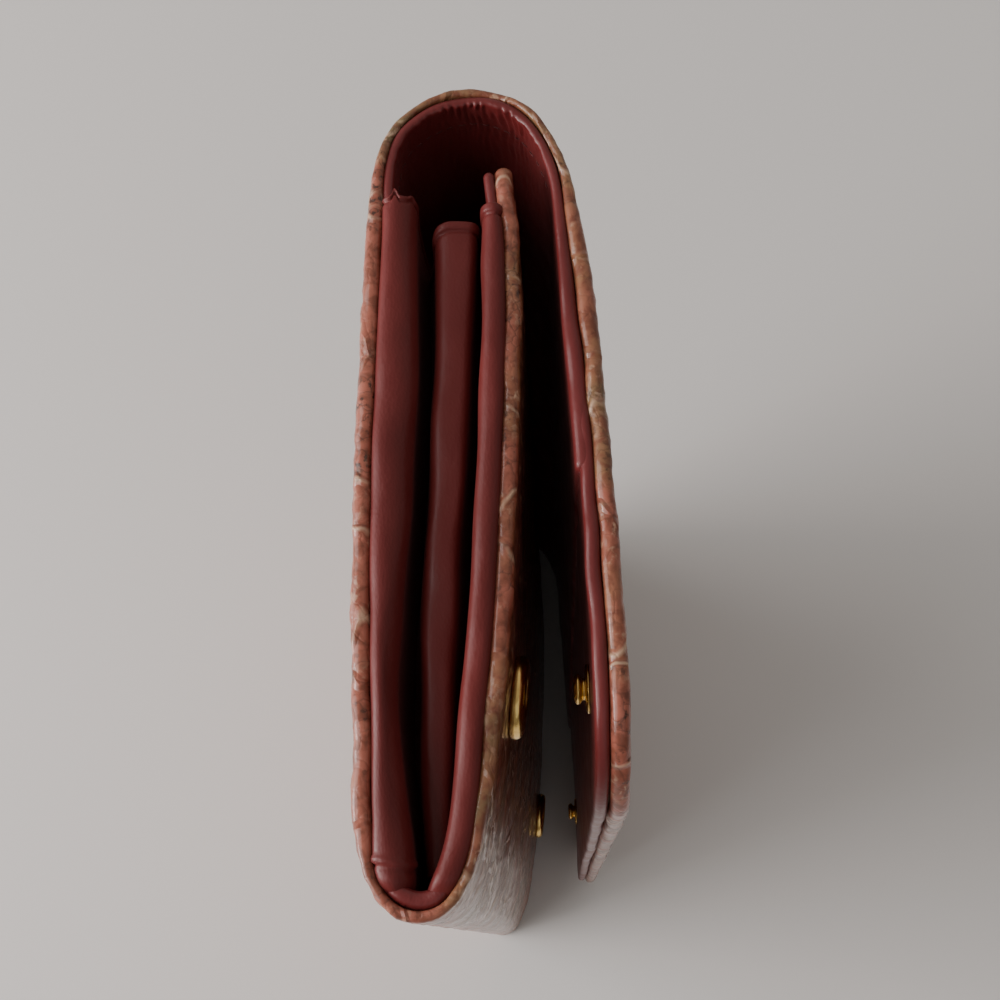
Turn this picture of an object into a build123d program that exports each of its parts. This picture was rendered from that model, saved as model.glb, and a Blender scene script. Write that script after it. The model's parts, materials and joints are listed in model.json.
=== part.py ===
from build123d import *
import math
import os

# Long flap wallet for a passport, standing on one short end.
# +Z runs along the wallet's width, +Y from the bottom fold to the spine, +X from the back to the flap.
# The origin is the centre of the footprint. All sizes are millimetres.

WIDTH = 190.0

# Layer depths, measured inwards from the outer skin
SKIN = 1.0
PANEL = 2.2
LINING = 1.7
WALL = PANEL + LINING
SPINE_SKIN = 1.3
SPINE_WALL = 2.7
FRONT_LINING = 1.1
FRONT_WALL = PANEL + FRONT_LINING
UPPER_LINING = 0.4

# The outer skin's path: bottom fold, back wall, spine arch, flap
SKIN_PATH = [
    (-2.8, -46.6), (-4.6, -49.1), (-7.4, -50.0), (-10.8, -48.8), (-13.4, -45.0),
    (-14.7, -35.0), (-15.1, -15.0), (-14.7, 12.0), (-14.1, 28.0), (-13.2, 38.5),
    (-11.3, 44.3), (-7.6, 48.0), (-1.5, 50.0), (5.0, 48.1), (9.4, 42.2),
    (12.2, 32.0), (13.8, 16.0), (14.7, -4.0), (15.1, -24.0), (14.8, -39.2),
]
# The front wall's outer face, from its tip down to the bottom fold
FRONT_PATH = [
    (4.2, 38.2), (4.8, 27.0), (4.7, 16.0), (3.6, -4.0), (2.0, -24.0), (0.2, -36.0), (-2.8, -46.6),
]
# The divider's rear face, from its top edge down
DIVIDER_PATH = [(-4.5, 30.0), (-5.4, 3.0), (-7.0, -21.0), (-7.9, -43.0)]

# Hinge lines lie on the outer skin, where the leather bends without stretching
SPINE_HINGES = [(-12.3, 42.2), (-6.0, 48.8), (2.6, 49.2), (9.4, 42.2)]
FOLD_GAP = 0.2
FRONT_FOLD_GAP = 0.6

# Stiffeners inside the turned edges
EDGE_TURN = 2.0
BOARD_BOTTOM = -40.0
BACK_BOARD_TOP = 36.0
FRONT_BOARD_BOTTOM = -38.0
FRONT_BOARD_TOP = 35.5
FLAP_BOARD_TOP = 34.0
FLAP_END = -39.2
FLAP_CORNER = 15.0

# Card pockets on the back wall, one in front of the other
CARD_LEATHER = 0.5
CARD_TOPS = [8.0, -4.0, -16.0]
CARD_BOTTOM = -38.0
CARD_MARGIN = 20.0

# Divider: a board between two leathers
DIVIDER_LEATHER = 0.5
DIVIDER_WALL = 1.6
DIVIDER_TOP = 29.8
DIVIDER_BOTTOM = -42.5
DIVIDER_MARGIN = 8.0

# Flap lining: the spine's lining ends in a turned edge at this height
UPPER_LINING_END = -1.5

# Gussets: a strip folded into two valleys with a flat ridge over the divider's end
GUSSET_LEATHER = 0.6
GUSSET_RIM = 1.5
GUSSET_VALLEY = 18.0
GUSSET_RIDGE = 4.0
GUSSET_RIDGE_WIDTH = 4.6
GUSSET_LEVELS = [-41.5, -24.0, 8.0, 30.0]
GUSSET_CLEARANCE = 0.25

# Press snaps
SNAP_FROM_END = 18.0
SOCKET_HEIGHT = -24.0
STUD_HEIGHT = -23.3
SOCKET_R = 5.0
SOCKET_BORE_R = 2.35
SOCKET_RISE = 1.7
SOCKET_BORE_DEPTH = 1.5
SOCKET_LIP = 0.5
SPRING_R = 2.9
SPRING_HEIGHT = 0.4
SPRING_LIFT = 0.55
RIVET_R = 1.4
RIVET_FLANGE_R = 3.2
RIVET_FLANGE = 0.5
RIVET_PLAY = 0.05
STUD_BASE_R = 3.0
STUD_BASE = 0.5
STUD_NECK_R = 1.35
STUD_HEAD_R = 1.85
STUD_RISE = 1.9
STUD_LIFT = 0.03

SAMPLES = 13

os.makedirs("parts", exist_ok=True)


def save(shape, node):
    export_step(shape, f"parts/{node}.step")


# Layers that follow a path

def inward(edge, t):
    tangent = edge.tangent_at(t)
    return Vector(tangent.Y, -tangent.X, 0).normalized()


def offset_line(edge, start, end, depth):
    steps = [start + (end - start) * i / (SAMPLES - 1) for i in range(SAMPLES)]
    return Spline(*[edge.position_at(t) + inward(edge, t) * depth for t in steps])


def layer(edge, start, end, near, far):
    """A closed strip between two depths under the path, from one end of the wallet to the other."""
    outside = offset_line(edge, start, end, near)
    inside = offset_line(edge, end, start, far)
    ring = Wire([
        outside,
        Line(outside @ 1, inside @ 0),
        inside,
        Line(inside @ 1, outside @ 0),
    ])
    return extrude(make_face(ring), amount=WIDTH, dir=(0, 0, 1))


def window(low_y, high_y, margin, corner=0.0):
    """A prism along X over one height range, with both short ends set in by the margin."""
    depth = 60.0
    block = Pos(0, (low_y + high_y) / 2, WIDTH / 2) * Box(depth, high_y - low_y, WIDTH - 2 * margin)
    if corner:
        lower = [e for e in block.edges().filter_by(Axis.X) if e.center().Y < (low_y + high_y) / 2]
        block = fillet(lower, corner)
    return block


def at(edge, point):
    return edge.param_at_point(Vector(*point))


def past(edge, t, gap):
    """The parameter a short way further along the path."""
    return t + gap / edge.length


def height_on(edge, y, low, high):
    """The parameter between low and high where the path crosses a height."""
    rising = edge.position_at(high).Y > edge.position_at(low).Y
    for _ in range(50):
        middle = (low + high) / 2
        above = edge.position_at(middle).Y > y
        if above == rising:
            high = middle
        else:
            low = middle
    return (low + high) / 2


def lined_panel(edge, start, end, board_window, outline=None):
    """An outer leather with turned edges, and the board that lies in its pocket."""
    leather = layer(edge, start, end, 0, PANEL)
    pocket = layer(edge, start, end, SKIN, PANEL + 1) & board_window
    board = layer(edge, start, end, SKIN, PANEL) & board_window
    leather = leather - pocket
    if outline:
        leather = leather & outline
    return leather, board


skin = Spline(*SKIN_PATH)
front = Spline(*FRONT_PATH)
divider = Spline(*DIVIDER_PATH)

back_t = at(skin, SKIN_PATH[5])
apex_t = at(skin, SKIN_PATH[12])
hinge_t = [
    height_on(skin, y, back_t, apex_t) if x < 0 else height_on(skin, y, apex_t, 1.0)
    for x, y in SPINE_HINGES
]
for number, t in enumerate(hinge_t):
    spot = skin.position_at(t)
    print(f"spine hinge {number + 1}: {spot.X:.3f}, {spot.Y:.3f}")

# Back wall and bottom fold
fold_t = at(skin, SKIN_PATH[4])
back_top = past(skin, hinge_t[0], -FOLD_GAP)
outer_back, back_board = lined_panel(
    skin, fold_t, back_top, window(BOARD_BOTTOM, BACK_BOARD_TOP, EDGE_TURN)
)
lining_back = layer(skin, fold_t, back_top, PANEL, WALL)
outer_bottom = layer(skin, past(skin, 0, FOLD_GAP), fold_t, 0, SKIN + 0.3)
lining_bottom = layer(skin, past(skin, 0, 2 * FOLD_GAP), fold_t, SKIN + 0.3, SKIN + LINING)
save(outer_back, "outer_back")
save(back_board, "back_board")
save(lining_back, "lining_back")
save(outer_bottom, "outer_bottom")
save(lining_bottom, "lining_bottom")

# Card pockets
for number, top in enumerate(CARD_TOPS):
    near = WALL + number * CARD_LEATHER
    pocket = layer(skin, fold_t, back_top, near, near + CARD_LEATHER)
    save(pocket & window(CARD_BOTTOM, top, CARD_MARGIN), f"card_pocket_{number + 1}")

# Spine arch
for number in range(3):
    start = past(skin, hinge_t[number], FOLD_GAP)
    end = past(skin, hinge_t[number + 1], -FOLD_GAP)
    save(layer(skin, start, end, 0, SPINE_SKIN), f"outer_spine_{number + 1}")
    save(layer(skin, start, end, SPINE_SKIN, SPINE_WALL), f"lining_spine_{number + 1}")


# Press snaps

def on_wall(edge, t, depth, z, outwards):
    """A workplane on the wall, its Z axis pointing off the wall."""
    normal = inward(edge, t) * (-1 if outwards else 1)
    spot = edge.position_at(t) + inward(edge, t) * depth
    return Plane(origin=(spot.X, spot.Y, z), x_dir=(0, 0, 1), z_dir=tuple(normal))


def disc(radius, low, high):
    return Pos(0, 0, (low + high) / 2) * Cylinder(radius, high - low)


def socket():
    body = fillet(disc(SOCKET_R, 0, SOCKET_RISE).edges().group_by(Axis.Z)[-1], SOCKET_LIP)
    body -= disc(SOCKET_BORE_R, SOCKET_RISE - SOCKET_BORE_DEPTH, SOCKET_RISE + 1)
    return body - disc(SPRING_R, SPRING_LIFT, SPRING_LIFT + SPRING_HEIGHT)


def spring():
    ring = disc(SPRING_R, SPRING_LIFT, SPRING_LIFT + SPRING_HEIGHT)
    ring -= disc(SOCKET_BORE_R - 0.1, 0, SOCKET_RISE)
    return ring - Pos(SPRING_R, 0, SPRING_LIFT) * Box(2, 1.2, 2)


def rivet(shaft):
    """A rivet whose shaft ends just under the workplane, with its flange below."""
    return disc(RIVET_R, -shaft, -RIVET_PLAY) + disc(RIVET_FLANGE_R, -shaft - RIVET_FLANGE, -shaft)


def rivet_bore():
    return disc(RIVET_R, -WALL, 1)


def flange_recess(shaft):
    return disc(RIVET_FLANGE_R, -shaft - RIVET_FLANGE, 1)


def stud():
    profile = Polyline(
        (0, 0), (STUD_BASE_R, 0), (STUD_BASE_R - 0.3, STUD_BASE), (STUD_NECK_R, STUD_BASE),
        (STUD_NECK_R, STUD_BASE + 0.3), (STUD_HEAD_R, STUD_BASE + 0.75),
        (STUD_HEAD_R - 0.45, STUD_RISE), (0, STUD_RISE), (0, 0),
    )
    return Rot(90, 0, 0) * revolve(make_face(profile), Axis.Y)


snap_levels = [SNAP_FROM_END, WIDTH - SNAP_FROM_END]
socket_t = height_on(front, SOCKET_HEIGHT, 0, 1)
stud_t = height_on(skin, STUD_HEIGHT, apex_t, 1)
front_shaft = PANEL + RIVET_PLAY
socket_planes = [on_wall(front, socket_t, 0, z, outwards=True) for z in snap_levels]
stud_planes = [on_wall(skin, stud_t, WALL + STUD_LIFT, z, outwards=False) for z in snap_levels]
flap_rivet_planes = [on_wall(skin, stud_t, WALL, z, outwards=False) for z in snap_levels]

sockets = [p.location * socket() for p in socket_planes]
springs = [p.location * spring() for p in socket_planes]
front_rivets = [p.location * rivet(front_shaft) for p in socket_planes]
front_bores = [p.location * rivet_bore() for p in socket_planes]
front_recesses = [p.location * flange_recess(front_shaft) for p in socket_planes]
studs = [p.location * stud() for p in stud_planes]
flap_rivets = [p.location * rivet(LINING) for p in flap_rivet_planes]
flap_bores = [p.location * rivet_bore() for p in flap_rivet_planes]
flap_recesses = [p.location * flange_recess(LINING) for p in flap_rivet_planes]


def without(shape, tools):
    for tool in tools:
        shape = shape - tool
    return shape


# Front wall
front_end = past(front, 1, -FRONT_FOLD_GAP)
outer_front, front_board = lined_panel(
    front, 0, front_end, window(FRONT_BOARD_BOTTOM, FRONT_BOARD_TOP, EDGE_TURN)
)
lining_front = layer(front, 0, front_end, PANEL, FRONT_WALL)
save(without(outer_front, front_bores), "outer_front")
save(without(front_board, front_bores), "front_board")
save(without(lining_front, front_recesses), "lining_front")
save(Compound(children=sockets), "snap_sockets")
save(Compound(children=springs), "snap_springs")
save(Compound(children=front_rivets), "snap_socket_rivets")

# Flap
flap_start = past(skin, hinge_t[3], FOLD_GAP)
flap_top = SPINE_HINGES[3][1] + 5
flap_shape = window(FLAP_END - 5, flap_top, 0) & window(FLAP_END, flap_top, 0, FLAP_CORNER)
outer_flap, flap_board = lined_panel(
    skin, flap_start, 1, window(FLAP_END + EDGE_TURN, FLAP_BOARD_TOP, EDGE_TURN, FLAP_CORNER - EDGE_TURN),
    flap_shape,
)
lining_flap = layer(skin, flap_start, 1, PANEL, WALL) & flap_shape
lining_flap_upper = layer(skin, flap_start, 1, WALL, WALL + UPPER_LINING)
lining_flap_upper = lining_flap_upper & window(UPPER_LINING_END, flap_top, 0)
save(outer_flap, "outer_flap")
save(without(flap_board, flap_recesses), "flap_board")
save(without(lining_flap, flap_bores), "lining_flap")
save(lining_flap_upper, "lining_flap_upper")
save(Compound(children=studs), "snap_studs")
save(Compound(children=flap_rivets), "snap_stud_rivets")

# Divider
divider_window = window(DIVIDER_BOTTOM, DIVIDER_TOP, DIVIDER_MARGIN)
board_edge = DIVIDER_WALL - DIVIDER_LEATHER


def divider_layer(near, far):
    return layer(divider, 0, 1, -near, -far) & divider_window


save(divider_layer(0, DIVIDER_LEATHER), "divider_leather_rear")
save(divider_layer(DIVIDER_LEATHER, board_edge), "divider_board")
save(divider_layer(board_edge, DIVIDER_WALL), "divider_leather_front")


# Gussets

def x_at(edge, y, low, high, depth):
    t = height_on(edge, y, low, high)
    return (edge.position_at(t) + inward(edge, t) * depth).X


def mitred(line, shift):
    """The same open line, set to its left by the shift, with mitred corners."""
    sides = [math.atan2(b[1] - a[1], b[0] - a[0]) for a, b in zip(line, line[1:])]
    turned = []
    for number, (x, z) in enumerate(line):
        before = sides[max(number - 1, 0)]
        after = sides[min(number, len(sides) - 1)]
        angle = (before + after) / 2 + math.pi / 2
        reach = shift / math.cos((after - before) / 2)
        turned.append((x + reach * math.cos(angle), z + reach * math.sin(angle)))
    return turned


def gusset_section(y, end, sign):
    """The folded strip at one height: rear wall, valley, ridge over the divider, valley, front wall."""
    rear = x_at(skin, y, fold_t, hinge_t[0], WALL) + GUSSET_CLEARANCE
    front_face = x_at(front, y, 0, 1, FRONT_WALL) - GUSSET_CLEARANCE
    middle = x_at(divider, y, 0, 1, 0) + DIVIDER_WALL / 2
    half = min(GUSSET_RIDGE_WIDTH, front_face - middle, middle - rear) / 2
    left = (rear + middle - half) / 2
    right = (front_face + middle + half) / 2
    line = [
        (rear, -GUSSET_RIM), (left, -GUSSET_VALLEY), (middle - half, -GUSSET_RIDGE),
        (middle + half, -GUSSET_RIDGE), (right, -GUSSET_VALLEY), (front_face, -GUSSET_RIM),
    ]
    ring = line + mitred(line, GUSSET_LEATHER)[::-1]
    return [(x, y, end + sign * z) for x, z in ring]


def gusset(end, sign):
    faces = [make_face(Polyline(*gusset_section(y, end, sign), close=True)) for y in GUSSET_LEVELS]
    return loft(faces, ruled=True)


save(gusset(WIDTH, 1), "gusset_near")
save(gusset(0, -1), "gusset_far")
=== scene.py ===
"""Looks of the passport holder wallet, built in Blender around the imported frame.

The wallet stands on one short end: +Z runs along its width, +Y from the bottom fold to the spine
arch and +X from the back wall to the flap. Shapes are worked out in millimetres and written in metres.
"""

import json
import logging
import math
from collections.abc import Callable, Sequence
from dataclasses import dataclass, field
from enum import Enum
from typing import ClassVar

import bpy
import numpy as np
from mathutils import Matrix, Vector


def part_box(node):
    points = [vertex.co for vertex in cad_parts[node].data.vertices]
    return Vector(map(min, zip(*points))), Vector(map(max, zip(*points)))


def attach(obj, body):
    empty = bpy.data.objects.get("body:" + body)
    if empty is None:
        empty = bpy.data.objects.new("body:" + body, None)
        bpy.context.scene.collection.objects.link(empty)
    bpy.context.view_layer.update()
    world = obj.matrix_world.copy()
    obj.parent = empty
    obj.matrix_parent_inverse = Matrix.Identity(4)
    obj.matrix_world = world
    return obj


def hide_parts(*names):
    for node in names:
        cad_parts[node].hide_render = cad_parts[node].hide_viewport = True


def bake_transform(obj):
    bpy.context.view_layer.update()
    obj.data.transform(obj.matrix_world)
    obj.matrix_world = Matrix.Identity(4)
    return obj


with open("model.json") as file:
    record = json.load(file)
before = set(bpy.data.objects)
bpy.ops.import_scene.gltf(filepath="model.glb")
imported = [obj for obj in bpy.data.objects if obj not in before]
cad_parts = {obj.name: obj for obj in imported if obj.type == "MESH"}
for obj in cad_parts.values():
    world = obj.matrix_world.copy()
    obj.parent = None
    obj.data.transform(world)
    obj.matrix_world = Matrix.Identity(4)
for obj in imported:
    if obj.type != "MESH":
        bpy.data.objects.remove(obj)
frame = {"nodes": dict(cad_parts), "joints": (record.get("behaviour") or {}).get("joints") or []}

Array = np.ndarray
Profile = Callable[[Array], Array]
Relief = Callable[[Array, Array], Array]

MM = 0.001
LOG = logging.getLogger("wallet")
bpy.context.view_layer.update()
WIDTH = (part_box("outer_back")[1].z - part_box("outer_back")[0].z) / MM


# ---------------------------------------------------------------- lines and unevenness


class Path:
    """A smooth line through a few points of the wallet's cross-section, in millimetres."""

    SAMPLES = 4000

    def __init__(self, points: Sequence[tuple[float, float]]) -> None:
        """Fits a natural cubic spline through the points.

        Args:
            points: The (X, Y) points, in order.
        """
        knots = np.array(points, float)
        chord = np.r_[0.0, np.cumsum(np.linalg.norm(np.diff(knots, axis=0), axis=1))]
        fine = np.linspace(0.0, chord[-1], self.SAMPLES)
        self.line = self._spline(chord, knots, fine)
        self.steps = np.r_[0.0, np.cumsum(np.linalg.norm(np.diff(self.line, axis=0), axis=1))]
        slope = np.gradient(self.line, self.steps, axis=0)
        slope /= np.linalg.norm(slope, axis=1)[:, None]
        self.normal = np.c_[slope[:, 1], -slope[:, 0]]
        self.length = float(self.steps[-1])

    @staticmethod
    def _spline(chord: Array, knots: Array, fine: Array) -> Array:
        """Evaluates the natural cubic spline.

        Args:
            chord: The parameter at each knot.
            knots: The points.
            fine: The parameters to evaluate at.

        Returns:
            One point for each parameter.
        """
        count = len(chord)
        gap = np.diff(chord)
        system = np.eye(count)
        right = np.zeros_like(knots)
        for i in range(1, count - 1):
            system[i, i - 1:i + 2] = gap[i - 1], 2 * (gap[i - 1] + gap[i]), gap[i]
            rise = (knots[i + 1] - knots[i]) / gap[i] - (knots[i] - knots[i - 1]) / gap[i - 1]
            right[i] = 6 * rise
        bend = np.linalg.solve(system, right)
        cell = np.clip(np.searchsorted(chord, fine, side="right") - 1, 0, count - 2)
        h = gap[cell][:, None]
        a = (chord[cell + 1] - fine)[:, None]
        b = (fine - chord[cell])[:, None]
        curve = bend[cell] * a**3 / (6 * h) + bend[cell + 1] * b**3 / (6 * h)
        curve += (knots[cell] / h - bend[cell] * h / 6) * a
        return curve + (knots[cell + 1] / h - bend[cell + 1] * h / 6) * b

    def station(self, point: tuple[float, float]) -> float:
        """The distance along the line of its place nearest to a point."""
        return float(self.steps[np.argmin(np.linalg.norm(self.line - np.array(point), axis=1))])

    def inward(self, along: Array) -> Array:
        """The unit normals that point into the wallet."""
        pair = [np.interp(along, self.steps, self.normal[:, k]) for k in (0, 1)]
        return np.stack(pair, axis=-1)

    def under(self, along: Array, depth: Array) -> Array:
        """The points at a depth under the line.

        Args:
            along: Distances along the line.
            depth: Depths, towards the inside.

        Returns:
            The (X, Y) points.
        """
        pair = [np.interp(along, self.steps, self.line[:, k]) for k in (0, 1)]
        return np.stack(pair, axis=-1) + self.inward(along) * np.asarray(depth)[..., None]


def unevenness(seed: int, size: float, *axes: Array) -> Array:
    """A smooth and repeatable unevenness, mostly between -1 and 1.

    Args:
        seed: Which unevenness it is.
        size: The rough size of a wave, in the axes' unit.
        axes: The coordinates.

    Returns:
        One value for each place.
    """
    rng = np.random.default_rng(seed)
    waves = 7
    total = np.zeros(np.broadcast(*axes).shape)
    for _ in range(waves):
        turn = rng.normal(size=len(axes))
        turn *= math.tau / size * rng.uniform(0.5, 1.5) / np.linalg.norm(turn)
        total = total + np.sin(sum(t * a for t, a in zip(turn, axes)) + rng.uniform(0, math.tau))
    return total / math.sqrt(waves)


def smooth_step(value: Array, low: float, high: float) -> Array:
    """Rises smoothly from 0 at low to 1 at high."""
    t = np.clip((value - low) / (high - low), 0, 1)
    return t * t * (3 - 2 * t)


def hump(value: Array, low: float, high: float, soft: float) -> Array:
    """1 between low and high, falling to 0 over a soft distance outside them."""
    return smooth_step(value, low - soft, low) * (1 - smooth_step(value, high, high + soft))


def spread(length: float, fine: float, coarse: float, roll: float) -> Array:
    """Places across a sheet, close together at both edges and wider apart in the middle.

    Args:
        length: The sheet's width.
        fine: The first step inside the rolled edge.
        coarse: The widest step.
        roll: The radius of the rolled edge.

    Returns:
        Places from 0 to the length.
    """
    places = [roll * (1 - math.cos(a)) for a in np.linspace(0, math.pi / 2, 6)]
    step = fine
    while places[-1] < length / 2:
        places.append(places[-1] + step)
        step = min(step * 1.06, coarse)
    half = np.array(places[:-1])
    half *= (length / 2 - coarse / 2) / half[-1]
    return np.r_[half, length - half[::-1]]


# ---------------------------------------------------------------- meshes


@dataclass
class Slab:
    """A closed sheet between two grids of points; rows run along the sheet, columns across it.

    Attributes:
        near: The points of one face, rows by columns by 3, in millimetres.
        far: The points of the other face.
        leather: Places on the leather, for its grain and colour.
        open_start: Whether the first row is a cut end and not a rolled edge.
        open_end: Whether the last row is a cut end.
    """

    near: Array
    far: Array
    leather: Array
    open_start: bool = False
    open_end: bool = False

    def __post_init__(self) -> None:
        """Welds the faces at the rolled edges and works out the smooth normals."""
        rows, columns = self.near.shape[:2]
        self.front = np.arange(rows * columns).reshape(rows, columns)
        self.back = self.front + rows * columns
        self.back[:, 0] = self.front[:, 0]
        self.back[:, -1] = self.front[:, -1]
        if not self.open_start:
            self.back[0] = self.front[0]
        if not self.open_end:
            self.back[-1] = self.front[-1]
        self.points = np.concatenate([self.near.reshape(-1, 3), self.far.reshape(-1, 3)])
        half = np.linalg.norm(self.far - self.near, axis=2, keepdims=True) / 2
        first = np.concatenate([self.leather, -half], axis=2)
        second = np.concatenate([self.leather, half], axis=2)
        self.places = np.concatenate([first.reshape(-1, 3), second.reshape(-1, 3)])
        quads = self._quads(0, rows - 1)
        corner = self.points[quads]
        face = np.cross(corner[:, 2] - corner[:, 0], corner[:, 3] - corner[:, 1])
        self.flip = float(np.einsum("ij,ij->", corner.mean(axis=1), face)) < 0
        normals = np.zeros_like(self.points)
        for k in range(4):
            np.add.at(normals, quads[:, k], -face if self.flip else face)
        lengths = np.linalg.norm(normals, axis=1)
        self.normals = normals / np.maximum(lengths, 1e-12)[:, None]

    def _quads(self, low: int, high: int) -> Array:
        """The faces of both sides between two rows.

        Args:
            low: The first row.
            high: The last row.

        Returns:
            The four point numbers of each face.
        """
        sides = []
        for index, order in ((self.front, 1), (self.back, -1)):
            part = index[low:high + 1]
            ring = [part[:-1, :-1], part[:-1, 1:], part[1:, 1:], part[1:, :-1]]
            sides.append(np.stack(ring[::order], axis=-1).reshape(-1, 4))
        return np.concatenate(sides)

    def _cap(self, row: int, start: bool) -> list[list[int]]:
        """The faces that close a cut end.

        Args:
            row: The row that the cut follows.
            start: Whether the cut is at the start of the piece.

        Returns:
            The point numbers of each face.
        """
        faces = []
        for j in range(self.front.shape[1] - 1):
            ring = [self.front[row, j], self.front[row, j + 1], self.back[row, j + 1], self.back[row, j]]
            face = [int(v) for k, v in enumerate(ring) if v != ring[k - 1]]
            faces.append(face[::-1] if start else face)
        return faces

    def piece(self, name: str, low: int = 0, high: int | None = None) -> bpy.types.Object:
        """Makes an object from a range of rows.

        Args:
            name: The object's name.
            low: The first row.
            high: The last row, or None for the sheet's last.

        Returns:
            The object, linked to the scene.
        """
        last = self.front.shape[0] - 1
        high = last if high is None else high
        faces = self._quads(low, high).tolist()
        if low > 0 or self.open_start:
            faces += self._cap(low, True)
        if high < last or self.open_end:
            faces += self._cap(high, False)
        if self.flip:
            faces = [f[::-1] for f in faces]
        used = np.unique(np.concatenate([np.array(f) for f in faces]))
        order = np.full(len(self.points), -1)
        order[used] = np.arange(len(used))
        mesh = bpy.data.meshes.new(name)
        mesh.from_pydata((self.points[used] * MM).tolist(), [], [order[f].tolist() for f in faces])
        mesh.shade_smooth()
        places = mesh.attributes.new("leather", "FLOAT_VECTOR", "POINT")
        places.data.foreach_set("vector", (self.places[used] * MM).astype(np.float32).ravel())
        mesh.normals_split_custom_set_from_vertices(self.normals[used].tolist())
        return link(bpy.data.objects.new(name, mesh))


def link(thing: bpy.types.Object) -> bpy.types.Object:
    """Puts an object in the scene."""
    bpy.context.scene.collection.objects.link(thing)
    return thing


@dataclass
class Layer:
    """One layer of leather that follows a path, from one short end of the wallet to the other.

    Attributes:
        path: The line it follows.
        start: Where it starts along the line.
        end: Where it ends.
        depth: The depth of its outer face.
        thick: Its thickness.
        start_corner: The corner radius at its start, or 0 for a cut end.
        end_corner: The corner radius at its end, or 0 for a cut end.
        inset: How far its two edges lie inside the wallet's short ends.
        step: The spacing of its rows.
        fine: The spacing of its columns at the edges.
        coarse: The spacing of its columns in the middle.
        outer_relief: The lift of its outer face.
        inner_relief: The lift of its inner face.
        waver: How far its edges wander.
        seed: Which wandering it is.
        square: How square its turned edges are; 2 is round.
        dense: A stretch with closer rows: its start, its end and the spacing there.
    """

    CORNER_ROWS: ClassVar[int] = 14
    EDGE_REACH: ClassVar[float] = 4.0
    WANDER: ClassVar[float] = 9.0
    WARP: ClassVar[float] = 12.0
    START_SQUARE: ClassVar[float] = 1.9
    START_REACH: ClassVar[float] = 2.5
    RIM_RELIEF: ClassVar[float] = 0.35

    path: Path
    start: float
    end: float
    depth: Profile
    thick: Profile
    start_corner: float = 0.0
    end_corner: float = 0.0
    inset: float = 0.0
    step: float = 0.9
    fine: float = 0.5
    coarse: float = 2.6
    outer_relief: Relief | None = None
    inner_relief: Relief | None = None
    waver: float = 0.12
    seed: int = 1
    square: float = 2.3
    dense: tuple[float, float, float] | None = None

    def rows(self) -> Array:
        """Spaces the rows, close together round the corners.

        Returns:
            The distances along the path of the layer's rows.
        """
        turn = np.linspace(0, math.pi / 2, self.CORNER_ROWS)
        first = self.start + self.start_corner
        last = self.end - self.end_corner
        middle = np.linspace(first, last, max(2, math.ceil((last - first) / self.step)) + 1)
        if self.dense:
            low, high, step = self.dense
            outside = middle[(middle < low) | (middle > high)]
            middle = np.sort(np.concatenate([outside, np.arange(low, high, step)]))
        head = self.start + self.start_corner * (1 - np.cos(turn)) if self.start_corner else []
        tail = self.end - self.end_corner * (1 - np.cos(turn))[::-1] if self.end_corner else []
        return np.unique(np.round(np.concatenate([head, middle, tail]), 5))

    def row_at(self, along: float) -> int:
        """The row nearest to a distance along the path."""
        return int(np.argmin(np.abs(self.rows() - along)))

    def _pull_in(self, along: Array) -> Array:
        """How far the rounded corners draw the edges in.

        Args:
            along: The rows' distances along the path.

        Returns:
            One distance for each row.
        """
        total = np.zeros_like(along)
        for corner, gap in ((self.start_corner, along - self.start), (self.end_corner, self.end - along)):
            if corner:
                inside = np.clip(corner - gap, 0, corner)
                total += corner - np.sqrt(np.maximum(corner**2 - inside**2, 0))
        return total

    def _to_edge(self, along: Array, across: Array) -> Array:
        """The distance from each place to the layer's outline.

        Args:
            along: Distances along the path.
            across: Distances from one edge.

        Returns:
            One distance for each place.
        """
        side = np.minimum(across, WIDTH - 2 * self.inset - across)
        distance = side.copy()
        for corner, gap in ((self.start_corner, along - self.start), (self.end_corner, self.end - along)):
            if not corner:
                continue
            reach = np.hypot(corner - side, corner - gap)
            rounded = corner - reach
            straight = np.minimum(side, gap)
            near = (side < corner) & (gap < corner)
            distance = np.minimum(distance, np.where(near, rounded, straight))
        return np.maximum(distance, 0)

    def slab(self) -> Slab:
        """Works out the layer's two faces.

        Returns:
            The closed sheet.
        """
        along_row = self.rows()
        full = WIDTH - 2 * self.inset
        roll = float(np.mean(self.thick(along_row))) / 2
        columns = spread(full, self.fine, self.coarse, roll)
        shrink = (full / 2 - self._pull_in(along_row)) / (full / 2)
        across = full / 2 + (columns[None, :] - full / 2) * shrink[:, None]
        along = np.repeat(along_row[:, None], len(columns), axis=1)
        half = self.thick(along) / 2
        inside = np.clip(self._to_edge(along, across) / half, 0, 1)
        ease = np.exp(-(along - self.start) / self.START_REACH)
        power = self.square - (self.square - self.START_SQUARE) * ease
        swell = half * (1 - (1 - inside) ** power) ** (1 / power)
        edge = np.exp(-self._to_edge(along, across) / self.EDGE_REACH)
        sideways = np.sign(across - full / 2) * edge * unevenness(self.seed, self.WANDER, along)
        height = across + self.inset + sideways * self.waver
        shift = edge * unevenness(self.seed + 7, self.WARP, along, across) * self.waver
        middle = self.depth(along) + half + shift
        outer = middle - swell
        inner = middle + swell
        if self.outer_relief:
            hold = self.RIM_RELIEF + (1 - self.RIM_RELIEF) * swell / half
            outer = outer - self.outer_relief(along, height) * hold
        if self.inner_relief:
            inner = inner + self.inner_relief(along, height) * swell / half
        outer[:, [0, -1]] = inner[:, [0, -1]] = (outer[:, [0, -1]] + inner[:, [0, -1]]) / 2
        near = np.concatenate([self.path.under(along, outer), height[..., None]], axis=2)
        far = np.concatenate([self.path.under(along, inner), height[..., None]], axis=2)
        places = np.stack([along, height], axis=2)
        return Slab(near, far, places, not self.start_corner, not self.end_corner)

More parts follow.
